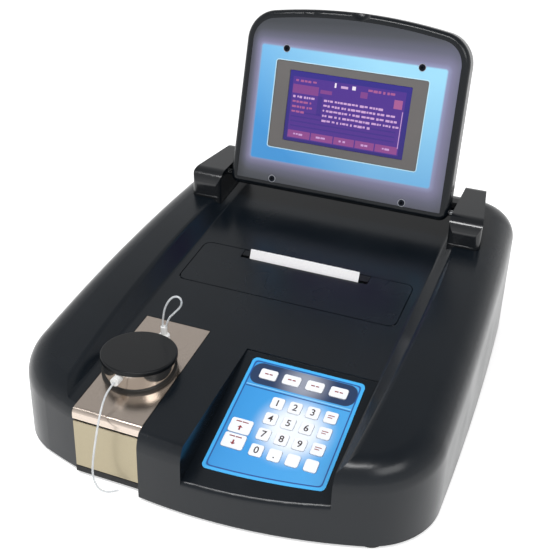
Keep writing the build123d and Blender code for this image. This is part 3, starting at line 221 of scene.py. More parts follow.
def soft_box(name, place, target, width, depth, watts):
    """A rectangular soft box that faces a point."""
    lamp = bpy.data.lights.new(name, "AREA")
    lamp.shape = "RECTANGLE"
    lamp.size = width
    lamp.size_y = depth
    lamp.energy = watts
    box = bpy.data.objects.new(name, lamp)
    box.location = place
    box.rotation_euler = (Vector(target) - Vector(place)).to_track_quat("-Z", "Y").to_euler()
    bpy.context.scene.collection.objects.link(box)


body_middle = (0.0, 0.0, 0.08)
soft_box("key_box", (-0.18, -0.66, 1.42), body_middle, 1.05, 0.17, 11)
soft_box("fill_box", (0.95, -0.9, 1.2), body_middle, 0.8, 0.6, 6)


# ---- Top housing ----
# One large injection moulding in black ABS, spark-eroded to a fine satin grain: a blue-black tone,
# soft highlights along its rounded edges, and faint flow mottling on the broad faces.
def moulded_plastic(name, colour, mottle, roughness, gloss=0.3, grain_mm=0.9, grain_depth=0.00002):
    """Moulded ABS: its grain scatters part of the gloss. The grain is drawn coarser than the real
    0.3 mm so that it shows in a picture."""
    material, tree, surface = new_material(name)
    place = add_node(tree, "ShaderNodeTexCoord", {})
    flow = add_node(
        tree, "ShaderNodeTexNoise", {"Vector": place.outputs["Object"], "Scale": 1 / 0.045, "Detail": 3.0}
    )
    tint = add_node(tree, "ShaderNodeMix", {0: flow, 6: srgb(colour), 7: srgb(mottle)}, data_type="RGBA")
    tree.links.new(tint.outputs[2], surface.inputs["Base Color"])
    rub = add_node(
        tree,
        "ShaderNodeMapRange",
        {"Value": flow, "From Min": 0.3, "From Max": 0.7, "To Min": roughness - 0.03, "To Max": roughness + 0.04},
    )
    tree.links.new(rub.outputs[0], surface.inputs["Roughness"])
    grain = add_node(
        tree, "ShaderNodeTexNoise", {"Vector": place.outputs["Object"], "Scale": 1000 / grain_mm, "Detail": 2.0}
    )
    relief = add_node(tree, "ShaderNodeBump", {"Height": grain, "Distance": grain_depth, "Strength": 0.5})
    tree.links.new(relief.outputs[0], surface.inputs["Normal"])
    surface.inputs["IOR"].default_value = 1.54
    surface.inputs["Specular IOR Level"].default_value = gloss
    return material


def dress(node, material):
    """Gives a CAD node its finish."""
    slots = frame["nodes"][node].data.materials
    slots.clear()
    slots.append(material)


dress("top_housing", moulded_plastic("satin_abs_housing", "0a1016", "10171e", 0.24))

# ---- Hinge towers ----
# Separate ABS mouldings that drop into seats in the shoulders, with slightly glossier rounded tops.
bead_height = 0.1138
tower_abs = moulded_plastic("satin_abs_tower", "090d12", "0f1318", 0.16, gloss=0.5)
dress("hinge_tower_left", tower_abs)
dress("hinge_tower_right", tower_abs)


def new_piece(name, shape, material, body):
    """Turns a finished bmesh into a piece that rides on a body."""
    mesh = bpy.data.meshes.new(name)
    shape.to_mesh(mesh)
    shape.free()
    mesh.materials.append(material)
    piece = bpy.data.objects.new(name, mesh)
    bpy.context.scene.collection.objects.link(piece)
    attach(piece, body)
    return piece


# a half-round bead moulded across each tower's front, just over the shoulder that it stands in
for side, node in ((-1, "hinge_tower_left"), (1, "hinge_tower_right")):
    low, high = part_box(node)
    near, far = (high.x, low.x) if side < 0 else (low.x, high.x)
    shape = bmesh.new()
    slices = []
    for step in range(13):
        share = step / 12
        x = near + (far - near) * (0.03 + 0.82 * share)
        swell = math.sin(math.pi * min(1, 0.12 + 4 * min(share, 1 - share)) / 2)
        ring = []
        for turn in range(9):
            angle = math.pi * (turn / 8 - 0.5)
            out = 0.0011 * swell * math.cos(angle) - 0.0004
            ring.append(shape.verts.new((x, low.y - out, bead_height + 0.0009 * swell * math.sin(angle))))
        slices.append(ring)
    for one, two in zip(slices, slices[1:]):
        for i in range(9):
            j = (i + 1) % 9
            shape.faces.new((one[i], one[j], two[j], two[i]))
    shape.faces.new(slices[0])
    shape.faces.new(list(reversed(slices[-1])))
    bmesh.ops.recalc_face_normals(shape, faces=shape.faces)
    for face in shape.faces:
        face.smooth = True
    new_piece("tower_bead_" + ("left" if side < 0 else "right"), shape, tower_abs, "base")

# ---- Base pan and feet ----
# A flat ABS pan with a plain matt grain; the feet are turned from black nitrile rubber.
dress("base_pan", moulded_plastic("matt_abs_pan", "101113", "17181a", 0.55))


def black_rubber(name, roughness):
    """Nitrile rubber: nearly black, dull, with a fine dusty bloom."""
    material, tree, surface = new_material(name)
    place = add_node(tree, "ShaderNodeTexCoord", {})
    bloom = add_node(tree, "ShaderNodeTexNoise", {"Vector": place.outputs["Object"], "Scale": 1 / 0.004})
    tint = add_node(tree, "ShaderNodeMix", {0: bloom, 6: srgb("0b0b0b"), 7: srgb("1b1b1a")}, data_type="RGBA")
    tree.links.new(tint.outputs[2], surface.inputs["Base Color"])
    relief = add_node(tree, "ShaderNodeBump", {"Height": bloom, "Distance": 0.0001, "Strength": 0.3})
    tree.links.new(relief.outputs[0], surface.inputs["Normal"])
    surface.inputs["Roughness"].default_value = roughness
    return material


rubber = black_rubber("nitrile_rubber", 0.75)
dress("rubber_feet", rubber)
dress("well_gasket", black_rubber("gasket_rubber", 0.5))
dress("platen_roller", black_rubber("platen_rubber", 0.6))


# ---- Sampler plate and sip plate ----
# 1.5 mm stainless sheet, belt-ground across its width before bending, so it shows fine straight
# scratches that stretch the reflections.
def brushed_stainless(name, colour, roughness, along):
    """Belt-ground stainless: scratches 0.25 mm apart run along the given axis (0, 1 or 2)."""
    material, tree, surface = new_material(name)
    place = add_node(tree, "ShaderNodeTexCoord", {})
    stretch = [1 / 0.00025] * 3
    stretch[along] = 1 / 0.03
    lines = add_node(tree, "ShaderNodeVectorMath", {0: place.outputs["Object"], 1: stretch}, operation="MULTIPLY")
    scratch = add_node(tree, "ShaderNodeTexNoise", {"Vector": lines, "Scale": 1.0, "Detail": 2.0})
    smear = add_node(tree, "ShaderNodeTexNoise", {"Vector": place.outputs["Object"], "Scale": 1 / 0.02})
    tone = add_node(
        tree, "ShaderNodeMapRange", {"Value": scratch, "From Min": 0.25, "From Max": 0.75, "To Min": 0.0, "To Max": 1.0}
    )
    base = srgb(colour)
    darker = [c * 0.78 for c in base[:3]] + [1.0]
    tint = add_node(tree, "ShaderNodeMix", {0: tone, 6: darker, 7: base}, data_type="RGBA")
    tree.links.new(tint.outputs[2], surface.inputs["Base Color"])
    dull = add_node(
        tree,
        "ShaderNodeMapRange",
        {"Value": smear, "From Min": 0.3, "From Max": 0.7, "To Min": roughness - 0.02, "To Max": roughness + 0.03},
    )
    tree.links.new(dull.outputs[0], surface.inputs["Roughness"])
    relief = add_node(tree, "ShaderNodeBump", {"Height": scratch, "Distance": 0.00002, "Strength": 0.4})
    tree.links.new(relief.outputs[0], surface.inputs["Normal"])
    surface.inputs["Metallic"].default_value = 1.0
    return material


dress("sampler_plate", brushed_stainless("brushed_stainless_plate", "d8cabe", 0.2, 1))
dress("sip_plate", brushed_stainless("brushed_stainless_sip", "aca28a", 0.3, 1))


# ---- Flow-cell well ----
# The collar is turned stainless, buffed bright; the cap is a satin acetal disc, turned, that holds
# the cell down.
def polished_stainless(name, colour, roughness):
    """Buffed stainless: near mirror, with faint rings left by the lathe."""
    material, tree, surface = new_material(name)
    place = add_node(tree, "ShaderNodeTexCoord", {})
    rings = add_node(
        tree, "ShaderNodeVectorMath", {0: place.outputs["Object"], 1: (60, 60, 1 / 0.0004)}, operation="MULTIPLY"
    )
    turn = add_node(tree, "ShaderNodeTexNoise", {"Vector": rings, "Scale": 1.0, "Detail": 1.0})
    relief = add_node(tree, "ShaderNodeBump", {"Height": turn, "Distance": 0.00001, "Strength": 0.25})
    tree.links.new(relief.outputs[0], surface.inputs["Normal"])
    haze = add_node(tree, "ShaderNodeMapRange", {"Value": turn, "To Min": roughness, "To Max": roughness + 0.08})
    tree.links.new(haze.outputs[0], surface.inputs["Roughness"])
    surface.inputs["Base Color"].default_value = srgb(colour)
    surface.inputs["Metallic"].default_value = 1.0
    return material


dress("well_collar", polished_stainless("buffed_stainless_collar", "cfc9c2", 0.06))
dress("flow_cell_cap", moulded_plastic("turned_acetal_cap", "06090c", "0b0e12", 0.3, gloss=0.24, grain_depth=0.000008))


# ---- Tube fittings ----
# A small natural polypropylene ferrule nut in front and a white union at the rear.
def natural_polypropylene():
    """Waxy white, a little see-through at thin edges."""
    material, tree, surface = new_material("moulded_polypropylene")
    place = add_node(tree, "ShaderNodeTexCoord", {})
    cloud = add_node(tree, "ShaderNodeTexNoise", {"Vector": place.outputs["Object"], "Scale": 1 / 0.003})
    tint = add_node(tree, "ShaderNodeMix", {0: cloud, 6: srgb("e6e6e4"), 7: srgb("fbfbfa")}, data_type="RGBA")
    tree.links.new(tint.outputs[2], surface.inputs["Base Color"])
    surface.inputs["Roughness"].default_value = 0.3
    surface.inputs["Subsurface Weight"].default_value = 0.3
    surface.inputs["Subsurface Radius"].default_value = (0.002, 0.002, 0.002)
    return material


dress("tube_fittings", natural_polypropylene())

# ---- Printer cover, frame and tear bar ----
# The cover is an ABS moulding flush with the deck; the frame is a glass-filled nylon tray.
dress("printer_cover", moulded_plastic("satin_abs_cover", "0a1016", "10171e", 0.26))
dress("printer_frame", moulded_plastic("glass_filled_nylon", "16171a", "222327", 0.6))
dress("tear_bar", moulded_plastic("abs_tear_bar", "0b0c0e", "121416", 0.4))


# ---- Paper roll and strip ----
# Thermal paper: smooth coated white. The strip stands out of the slot, leans back and has a finely
# torn upper edge.
def thermal_paper():
    material, tree, surface = new_material("thermal_paper")
    place = add_node(tree, "ShaderNodeTexCoord", {})
    fibre = add_node(tree, "ShaderNodeTexNoise", {"Vector": place.outputs["Object"], "Scale": 1 / 0.0015, "Detail": 4.0})
    tint = add_node(tree, "ShaderNodeMix", {0: fibre, 6: srgb("efeef2"), 7: srgb("ffffff")}, data_type="RGBA")
    tree.links.new(tint.outputs[2], surface.inputs["Base Color"])
    relief = add_node(tree, "ShaderNodeBump", {"Height": fibre, "Distance": 0.00003, "Strength": 0.4})
    tree.links.new(relief.outputs[0], surface.inputs["Normal"])
    surface.inputs["Roughness"].default_value = 0.6
    return material


paper = thermal_paper()
dress("paper_roll", paper)


def paper_web():
    """The free end of the strip: it climbs out of the slot, leans back, curls a little and ends in a
    torn edge."""
    half_width, thickness, slot_y, slot_z = 0.0505, 0.00012, 0.0283, 0.0912
    rise, lean = 0.0092, math.radians(20)
    tears = random.Random(3)
    columns, rows = 101, 9
    shape = bmesh.new()
    sheets = []
    for face_side in (-0.5, 0.5):
        grid = []
        for column in range(columns):
            across = column / (columns - 1) * 2 - 1
            tear = tears.uniform(-0.00012, 0.00012) if face_side < 0 else torn[column]
            if face_side < 0:
                torn = [tear] if column == 0 else torn + [tear]
            line = []
            for row in range(rows):
                share = row / (rows - 1)
                along = share * (rise + tear)
                curl = 0.0007 * share * share * (1 - 0.5 * across * across)
                y = slot_y + along * math.sin(lean) + curl + face_side * thickness
                line.append(shape.verts.new((across * half_width, y, slot_z + along * math.cos(lean))))
            grid.append(line)
        sheets.append(grid)
    for grid in sheets:
        for column in range(columns - 1):
            for row in range(rows - 1):
                corners = (grid[column][row], grid[column + 1][row], grid[column + 1][row + 1], grid[column][row + 1])
                shape.faces.new(corners)
    front, back = sheets
    rims = [
        [line[0] for line in front], [line[-1] for line in front], list(front[0]), list(front[-1]),
    ]
    partners = [
        [line[0] for line in back], [line[-1] for line in back], list(back[0]), list(back[-1]),
    ]
    for rim, partner in zip(rims, partners):
        for i in range(len(rim) - 1):
            shape.faces.new((rim[i], rim[i + 1], partner[i + 1], partner[i]))
    bmesh.ops.recalc_face_normals(shape, faces=shape.faces)
    return shape


web = new_piece("paper_web", paper_web(), paper, "base")
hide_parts("paper_strip")
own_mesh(web)

# ---- Lid shells ----
# Front and rear halves of the lid, the same ABS, a little smoother on the outside rim.
lid_abs = moulded_plastic("satin_abs_lid", "090e13", "0f141a", 0.22)
dress("lid_front_shell", lid_abs)
dress("lid_rear_shell", lid_abs)


# ---- Display overlay ----
# Polycarbonate film, reverse printed: a light-blue frame round the window that fades through slate
# and lilac to black at the film's edge. The slate and lilac are partly a painted reflection of the pale room.
lid_joint = Vector(joints["lid_hinge"]["pos_m"])
lid_lean = math.radians(13.0)
lid_up = Vector((0, math.sin(lid_lean), math.cos(lid_lean)))
lid_out = Vector((0, -math.cos(lid_lean), math.sin(lid_lean)))
axis_up, axis_depth = 0.0058, 0.0172
lid_foot = lid_joint - lid_up * axis_up + lid_out * axis_depth
lid_frame = Matrix.Translation(lid_foot) @ Matrix.Rotation(math.pi / 2 - lid_lean, 4, "X")


def face_coordinates(tree, origin, up):
    """Across and up positions on a tilted face, in metres, as two nodes."""
    place = add_node(tree, "ShaderNodeTexCoord", {})
    from_foot = add_node(
        tree, "ShaderNodeVectorMath", {0: place.outputs["Object"], 1: tuple(origin)}, operation="SUBTRACT"
    )
    across = add_node(tree, "ShaderNodeSeparateXYZ", {0: from_foot})
    upward = add_node(tree, "ShaderNodeVectorMath", {0: from_foot, 1: tuple(up)}, operation="DOT_PRODUCT")
    return across.outputs["X"], upward.outputs["Value"]


def panel_distance(tree, across, upward, centre, half, corner):
    """How far a point lies outside (+) or inside (-) a rounded rectangle printed on the face."""
    sides = []
    for position, middle, reach in zip((across, upward), centre, half):
        shifted = add_node(tree, "ShaderNodeMath", {0: position, 1: middle}, operation="SUBTRACT")
        folded = add_node(tree, "ShaderNodeMath", {0: shifted}, operation="ABSOLUTE")
        sides.append(add_node(tree, "ShaderNodeMath", {0: folded, 1: reach - corner}, operation="SUBTRACT"))
    squares = []
    for side in sides:
        beyond = add_node(tree, "ShaderNodeMath", {0: side, 1: 0.0}, operation="MAXIMUM")
        squares.append(add_node(tree, "ShaderNodeMath", {0: beyond, 1: 2.0}, operation="POWER"))
    total = add_node(tree, "ShaderNodeMath", {0: squares[0], 1: squares[1]}, operation="ADD")
    outside = add_node(tree, "ShaderNodeMath", {0: total}, operation="SQRT")
    deepest = add_node(tree, "ShaderNodeMath", {0: sides[0], 1: sides[1]}, operation="MAXIMUM")
    inside = add_node(tree, "ShaderNodeMath", {0: deepest, 1: 0.0}, operation="MINIMUM")
    both = add_node(tree, "ShaderNodeMath", {0: outside, 1: inside}, operation="ADD")
    return add_node(tree, "ShaderNodeMath", {0: both, 1: corner}, operation="SUBTRACT")


def printed_polycarbonate():
    material, tree, surface = new_material("printed_polycarbonate_overlay")
    across, upward = face_coordinates(tree, lid_foot, lid_up)
    # the blue frame's own gradient: deeper at its lower left, nearly white-blue at the top
    blend_up = add_node(
        tree, "ShaderNodeMapRange", {"Value": upward, "From Min": 0.03, "From Max": 0.13, "To Min": 0.15, "To Max": 0.8}
    )
    blend_right = add_node(
        tree, "ShaderNodeMapRange", {"Value": across, "From Min": -0.085, "From Max": 0.03, "To Min": -0.35, "To Max": 0.25}
    )
    blend = add_node(tree, "ShaderNodeMath", {0: blend_up, 1: blend_right}, operation="ADD", use_clamp=True)
    blue = add_node(tree, "ShaderNodeMix", {0: blend, 6: srgb("3a97dc"), 7: srgb("9edcf8")}, data_type="RGBA")
    # the fade outside it, short and dark at the left, long and lilac at the right: printed, with a
    # painted reflection of the pale room in its slate and lilac
    distance = panel_distance(tree, across, upward, (-0.0006, 0.0788), (0.0856, 0.0515), 0.002)
    spread = add_node(
        tree, "ShaderNodeMapRange",
        {"Value": across, "From Min": -0.1, "From Max": 0.1, "To Min": 0.019, "To Max": 0.036},
    )
    fade = add_node(tree, "ShaderNodeMath", {0: distance, 1: spread}, operation="DIVIDE", use_clamp=True)
    fade_and_reflection = add_node(tree, "ShaderNodeValToRGB", {0: fade})
    # the lighter lilac and slate stops are partly painted reflection, the darker ones the printed fade
    stops = [(0.0, "9297bd"), (0.14, "7a7896"), (0.38, "5f6075"), (0.7, "43464f"), (1.0, "33373e")]
    while len(fade_and_reflection.color_ramp.elements) < len(stops):
        fade_and_reflection.color_ramp.elements.new(0.5)
    for element, (position, colour) in zip(fade_and_reflection.color_ramp.elements, stops):
        element.position = position
        element.color = srgb(colour)
    margin = add_node(
        tree, "ShaderNodeMapRange", {"Value": across, "From Min": -0.102, "From Max": -0.09, "To Min": 1.0, "To Max": 0.0}
    )
    fade_and_reflection = add_node(
        tree, "ShaderNodeMix", {0: margin, 6: fade_and_reflection.outputs["Color"], 7: srgb("161a20")}, data_type="RGBA"
    )
    edge = add_node(
        tree,
        "ShaderNodeMapRange",
        {"Value": distance, "From Min": -0.0008, "From Max": 0.0012},
        interpolation_type="SMOOTHSTEP",
    )
    ink = add_node(
        tree, "ShaderNodeMix", {0: edge, 6: blue.outputs[2], 7: fade_and_reflection.outputs[2]}, data_type="RGBA"
    )
    # a pale line where the film is cut round the window
    window = panel_distance(tree, across, upward, (0.0, 0.0793), (0.0707, 0.0395), 0.002)
    cut_edge = add_node(
        tree, "ShaderNodeMapRange", {"Value": window, "From Min": 0.0003, "From Max": 0.0011, "To Min": 1.0, "To Max": 0.0}
    )
    ink = add_node(tree, "ShaderNodeMix", {0: cut_edge, 6: ink.outputs[2], 7: srgb("c9ecfb")}, data_type="RGBA")
    tree.links.new(ink.outputs[2], surface.inputs["Base Color"])
    surface.inputs["Roughness"].default_value = 0.24
    surface.inputs["IOR"].default_value = 1.58
    return material


dress("display_overlay", printed_polycarbonate())

# ---- Display module ----
# A steel-framed LCD with a taupe painted bezel. The lit screen shows a plain menu made of bars.
dress("lcd_module", moulded_plastic("painted_steel_bezel", "646160", "706d6c", 0.5, grain_depth=0.00001))


def bevelled_plate(shape, place, centre, size, corner, low, high, edge):
    """A rounded rectangle raised from low to high in a tilted frame, its upper edge bevelled."""
    steps = 5

    def ring(grow, level):
        points = []
        for quarter, (sx, sy) in enumerate(((1, 1), (-1, 1), (-1, -1), (1, -1))):
            middle_x = centre[0] + sx * (size[0] / 2 - corner)
            middle_y = centre[1] + sy * (size[1] / 2 - corner)
            for step in range(steps + 1):
                turn = math.pi / 2 * (quarter + step / steps)
                reach = corner + grow
                spot = Vector((middle_x + reach * math.cos(turn), middle_y + reach * math.sin(turn), level))
                points.append(shape.verts.new(place @ spot))
        return points

    rings = [ring(0, low), ring(0, high - edge), ring(-edge, high)]
    for lower, upper in zip(rings, rings[1:]):
        for i in range(len(lower)):
            j = (i + 1) % len(lower)
            shape.faces.new((lower[i], lower[j], upper[j], upper[i]))
    shape.faces.new(rings[-1])
    shape.faces.new(list(reversed(rings[0])))


def lit_screen(name, lower, upper, strength):
    """Backlit liquid crystal: the colour glows, with a faint vertical fall-off."""
    material, tree, surface = new_material(name)
    across, upward = face_coordinates(tree, lid_foot, lid_up)
    rise = add_node(tree, "ShaderNodeMapRange", {"Value": upward, "From Min": 0.0475, "From Max": 0.1115})
    glow = add_node(tree, "ShaderNodeMix", {0: rise, 6: srgb(lower), 7: srgb(upper)}, data_type="RGBA")
    tree.links.new(glow.outputs[2], surface.inputs["Emission Color"])
    surface.inputs["Emission Strength"].default_value = strength
    surface.inputs["Base Color"].default_value = srgb("050408")
    surface.inputs["Roughness"].default_value = 0.25
    return material


screen_low, screen_high, screen_half = 0.0475, 0.1115, 0.057
screen_middle = (screen_low + screen_high) / 2
shape = bmesh.new()
bevelled_plate(
    shape, lid_frame, (0, screen_middle), (2 * screen_half - 0.0006, screen_high - screen_low - 0.0006), 0.0008,
    -0.00168, -0.0013, 0.0001,
)
new_piece("screen_glass", shape, lit_screen("backlit_liquid_crystal", "220d7c", "241091", 0.85), "lid")

screen_ink = {
    "field": lit_screen("screen_field", "512196", "4d1f9c", 0.8),
    "stripe": lit_screen("screen_stripe", "3d1a90", "3a1690", 0.8),
    "header": lit_screen("screen_header", "9a4696", "853a98", 0.8),
    "warm": lit_screen("screen_warm", "b8609a", "b05a9c", 0.85),
    "words": lit_screen("screen_words", "cf9fdc", "dcb2e2", 0.9),
    "bright": lit_screen("screen_bright", "f6eafa", "f6eafa", 0.95),
}
screen_shapes = {ink: bmesh.new() for ink in screen_ink}


def screen_bar(ink, left, right, low, high):
    """One bar of the menu: left and right as shares of the width, low and high of the height."""
    width = 2 * screen_half - 0.004
    tall = screen_high - screen_low - 0.004
    centre_x = -width / 2 + width * (left + right) / 2
    centre_y = screen_low + 0.002 + tall * (low + high) / 2
    size = (width * (right - left), tall * (high - low))
    corner = min(0.0003, min(size) * 0.2)
    level = -0.00126 + 0.00003 * list(screen_ink).index(ink)
    bevelled_plate(
        screen_shapes[ink], lid_frame, (centre_x, centre_y), size, corner, level - 0.00002, level, 0.00001
    )


screen_bar("field", 0.015, 0.975, 0.015, 0.945)
for low in (0.20, 0.27, 0.34, 0.41):
    screen_bar("stripe", 0.03, 0.93, low, low + 0.02)
screen_bar("stripe", 0.245, 0.285, 0.42, 0.70)
screen_bar("header", 0.02, 0.245, 0.70, 0.83)
screen_bar("header", 0.26, 0.36, 0.745, 0.80)
screen_bar("header", 0.60, 0.66, 0.77, 0.86)
screen_bar("warm", 0.885, 0.955, 0.69, 0.82)
screen_bar("words", 0.962, 0.968, 0.12, 0.66)
for left, right in ((0.02, 0.215), (0.225, 0.415), (0.425, 0.60), (0.61, 0.77), (0.78, 0.965)):
    screen_bar("header", left, right, 0.03, 0.14)
words = random.Random(7)


def screen_line(ink, start, stop, low, tall):
    """A line of marks as long as words, drawn as small bars."""
    at = start
    while at < stop - 0.02:
        end = min(at + words.uniform(0.012, 0.04), stop)
        screen_bar(ink, at, end, low + words.uniform(0, 0.25) * tall, low + tall)
        at = end + words.choice((0.006, 0.006, 0.016))


for low, left_end, right_end in ((0.63, 0.24, 0.82), (0.555, 0.21, 0.91), (0.48, 0.22, 0.93), (0.405, 0.14, 0.95),
                                 (0.33, 0.0, 0.74)):
    screen_line("warm" if low < 0.6 else "words", 0.03, left_end, low, 0.035)
    screen_line("words", 0.30, right_end, low, 0.035)
screen_line("warm", 0.04, 0.22, 0.87, 0.035)
screen_line("warm", 0.66, 0.90, 0.87, 0.04)
screen_bar("bright", 0.375, 0.39, 0.86, 0.93)
screen_bar("words", 0.43, 0.49, 0.865, 0.90)
screen_bar("bright", 0.525, 0.555, 0.865, 0.92)
for left in (0.07, 0.27, 0.47, 0.66, 0.84):
    screen_line("words", left, left + 0.08, 0.07, 0.03)
for ink, shape in screen_shapes.items():
    new_piece("screen_" + ink, shape, screen_ink[ink], "lid")

# ---- Fasteners and pins ----
# Zinc-plated socket screws and ground hinge pins.


def plated_steel(name, colour, roughness):
    material, tree, surface = new_material(name)
    place = add_node(tree, "ShaderNodeTexCoord", {})
    smear = add_node(tree, "ShaderNodeTexNoise", {"Vector": place.outputs["Object"], "Scale": 1 / 0.002})
    haze = add_node(tree, "ShaderNodeMapRange", {"Value": smear, "To Min": roughness - 0.08, "To Max": roughness + 0.1})
    tree.links.new(haze.outputs[0], surface.inputs["Roughness"])
    surface.inputs["Base Color"].default_value = srgb(colour)
    surface.inputs["Metallic"].default_value = 1.0
    return material


dress("lid_screws", plated_steel("black_oxide_screw", "20232b", 0.35))
# a bright steel ring round each black screw head is a painted highlight on the head's rim
rim_highlight_steel = plated_steel("painted_highlight_rim", "b9bcc4", 0.3)
socket_shade = plated_steel("painted_shade_socket", "0c0d10", 0.6)
rims, sockets = bmesh.new(), bmesh.new()
for across in (-0.0626, 0.0626):
    for upward in (0.0101, 0.1293):
        loops = []
        for reach, level in ((0.00285, 0.0), (0.0030, 0.00022), (0.0033, 0.00022), (0.00345, 0.0)):
            turns = [math.tau * i / 32 for i in range(32)]
            loops.append([
                rims.verts.new(lid_frame @ Vector((across + reach * math.cos(t), upward + reach * math.sin(t), level)))
                for t in turns
            ])
        for inner, outer in zip(loops, loops[1:] + loops[:1]):
            for i in range(32):
                rims.faces.new((inner[i], outer[i], outer[(i + 1) % 32], inner[(i + 1) % 32]))
        # the socket: a dark hexagon raised over each head, painted shade where the recess would be
        spots = [math.tau * i / 6 for i in range(6)]
        for level, order in ((0.00054, 1), (0.0004, -1)):
            ring = [
                sockets.verts.new(lid_frame @ Vector((across + 0.0012 * math.cos(t), upward + 0.0012 * math.sin(t), level)))
                for t in spots
            ]
            sockets.faces.new(ring[::order])
            if order < 0:
                for i in range(6):
                    sockets.faces.new((upper[i], ring[i], ring[(i + 1) % 6], upper[(i + 1) % 6]))
            upper = ring
for shape in (rims, sockets):
    bmesh.ops.recalc_face_normals(shape, faces=shape.faces)
new_piece("lid_screw_rims", rims, rim_highlight_steel, "lid")
new_piece("lid_screw_sockets", sockets, socket_shade, "lid")
dress("base_screws", plated_steel("zinc_plated_screw", "a9abad", 0.3))
dress("hinge_pins", plated_steel("ground_steel_pin", "8f9194", 0.25))

# ---- Keypad plate ----
# Screen-printed polycarbonate over a stiff plate: a mid-blue field with a white glow behind the
# number keys, a navy band for the function keys, and a pale line round the edge.
pad_angle = math.atan(0.385)
pad_origin = Vector((0, -0.088, 0.073))
pad_frame = Matrix.Translation(pad_origin) @ Matrix.Rotation(pad_angle, 4, "X")
pad_up = Vector((0, math.cos(pad_angle), math.sin(pad_angle)))


def printed_keypad():
    material, tree, surface = new_material("screen_printed_keypad")
    across, upward = face_coordinates(tree, pad_origin, pad_up)

    def maths(operation, *values):
        return add_node(tree, "ShaderNodeMath", dict(enumerate(values)), operation=operation)

    def print_over(below, cover, ink):
        return add_node(tree, "ShaderNodeMix", {0: cover, 6: below, 7: ink}, data_type="RGBA").outputs[2]

    def line_at(distance, place, half, soft=0.00025):
        away = maths("ABSOLUTE", maths("SUBTRACT", distance, place))
        return add_node(
            tree, "ShaderNodeMapRange",
            {"Value": away, "From Min": half - soft, "From Max": half + soft, "To Min": 1.0, "To Max": 0.0},
        )

    # how far a point lies inside the plate's edge; the lower edge slants and bows
    from_left = maths("SUBTRACT", across, 0.005)
    from_right = maths("SUBTRACT", 0.0965, across)
    sides = maths("SMOOTH_MIN", from_left, from_right, 0.004)
    middle = maths("SUBTRACT", across, 0.05075)
    bow = maths("MULTIPLY", maths("MULTIPLY", middle, middle), 0.0019 / 0.04575 ** 2)
    foot = maths("ADD", maths("MULTIPLY_ADD", middle, 0.094, -0.1005), bow)
    from_foot = maths("SUBTRACT", upward, foot)
    from_top = maths("MULTIPLY", upward, -1.0)
    inside = maths("SMOOTH_MIN", sides, maths("SMOOTH_MIN", from_foot, from_top, 0.004), 0.005)

    # field, with the white glow behind the number keys
    fall = add_node(tree, "ShaderNodeMapRange", {"Value": across, "From Min": 0.01, "From Max": 0.09})
    field = add_node(tree, "ShaderNodeMix", {0: fall, 6: srgb("2f97e0"), 7: srgb("46a6e8")}, data_type="RGBA")
    spot = add_node(tree, "ShaderNodeCombineXYZ", {0: across, 1: upward})
    glow_from = add_node(tree, "ShaderNodeVectorMath", {0: spot, 1: (0.058, -0.054, 0)}, operation="DISTANCE")
    glow = add_node(
        tree, "ShaderNodeMapRange",
        {"Value": glow_from.outputs["Value"], "From Min": 0.011, "From Max": 0.035, "To Min": 0.95, "To Max": 0.0},
        interpolation_type="SMOOTHSTEP",
    )
    ink = print_over(field.outputs[2], glow, srgb("f4f9ff"))

    # the navy band, paler and greyer in its middle
    band_from = add_node(tree, "ShaderNodeVectorMath", {0: spot, 1: (0.052, -0.0135, 0)}, operation="DISTANCE")
    band_fall = add_node(
        tree, "ShaderNodeMapRange",
        {"Value": band_from.outputs["Value"], "From Min": 0.004, "From Max": 0.026, "To Min": 0.75, "To Max": 0.0},
        interpolation_type="SMOOTHSTEP",
    )
    band_ink = print_over(srgb("17345c"), band_fall, srgb("a9aebd"))
    band = panel_distance(tree, across, upward, (0.0508, -0.0135), (0.0425, 0.0097), 0.0078)
    ink = print_over(ink, line_at(band, -0.05, 0.05), band_ink)

    # under the band a pale line and a navy one, between the side lines
    between = add_node(tree, "ShaderNodeMapRange", {"Value": sides, "From Min": 0.0036, "From Max": 0.0042})
    for level, half, code in ((-0.0249, 0.0004, "8fd2f8"), (-0.0265, 0.0004, "123f86")):
        ink = print_over(ink, maths("MULTIPLY", line_at(upward, level, half), between), srgb(code))
    # the plate's edge is printed a brighter blue, with a navy line inside it
    ink = print_over(ink, line_at(inside, 0.0, 0.0021), srgb("3fb4f6"))
    ink = print_over(ink, line_at(inside, 0.0030, 0.00045), srgb("0f3f8c"))
    tree.links.new(ink, surface.inputs["Base Color"])
    surface.inputs["Roughness"].default_value = 0.32
    surface.inputs["IOR"].default_value = 1.58
    return material


dress("keypad_plate", printed_keypad())

# ---- Keys ----
# Moulded silicone-backed caps, white with dark legends. Digits are set in a plain face; the other
# legends are small bars and arrows.
white_cap = moulded_plastic("moulded_white_keycap", "eef2f8", "f8faff", 0.42, grain_depth=0.00001)
legend_dark, legend_tree, legend_surface = new_material("legend_ink_dark")
legend_surface.inputs["Base Color"].default_value = srgb("3a2c2e")
legend_surface.inputs["Roughness"].default_value = 0.6
legend_red, red_tree, red_surface = new_material("legend_ink_red")
red_surface.inputs["Base Color"].default_value = srgb("8e2a30")
red_surface.inputs["Roughness"].default_value = 0.6
key_top = 0.0008
legend_lift = 0.00006
digits = {(1, 1): "1", (1, 2): "2", (1, 3): "3", (2, 1): "4", (2, 2): "5", (2, 3): "6",
          (3, 1): "7", (3, 2): "8", (3, 3): "9", (4, 1): "0", (4, 2): "."}


def key_centre(node):
    """A key's place on the pad, from its box at rest."""
    low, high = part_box(node)
    middle = (low + high) / 2 - pad_origin
    return middle.x, middle.dot(pad_up)


def legend_bars(name, node, bars, material):
    """Small bars on a key, each given by centre and size from the key's middle, in mm."""
    x, v = key_centre(node)
    shape = bmesh.new()
    for dx, dv, width, tall in bars:
        bevelled_plate(
            shape, pad_frame, (x + dx / 1000, v + dv / 1000), (width / 1000, tall / 1000),
            min(width, tall) * 0.0002, key_top - 0.00002, key_top + legend_lift, 0.00001,
        )
    new_piece(name, shape, material, node + "_body")


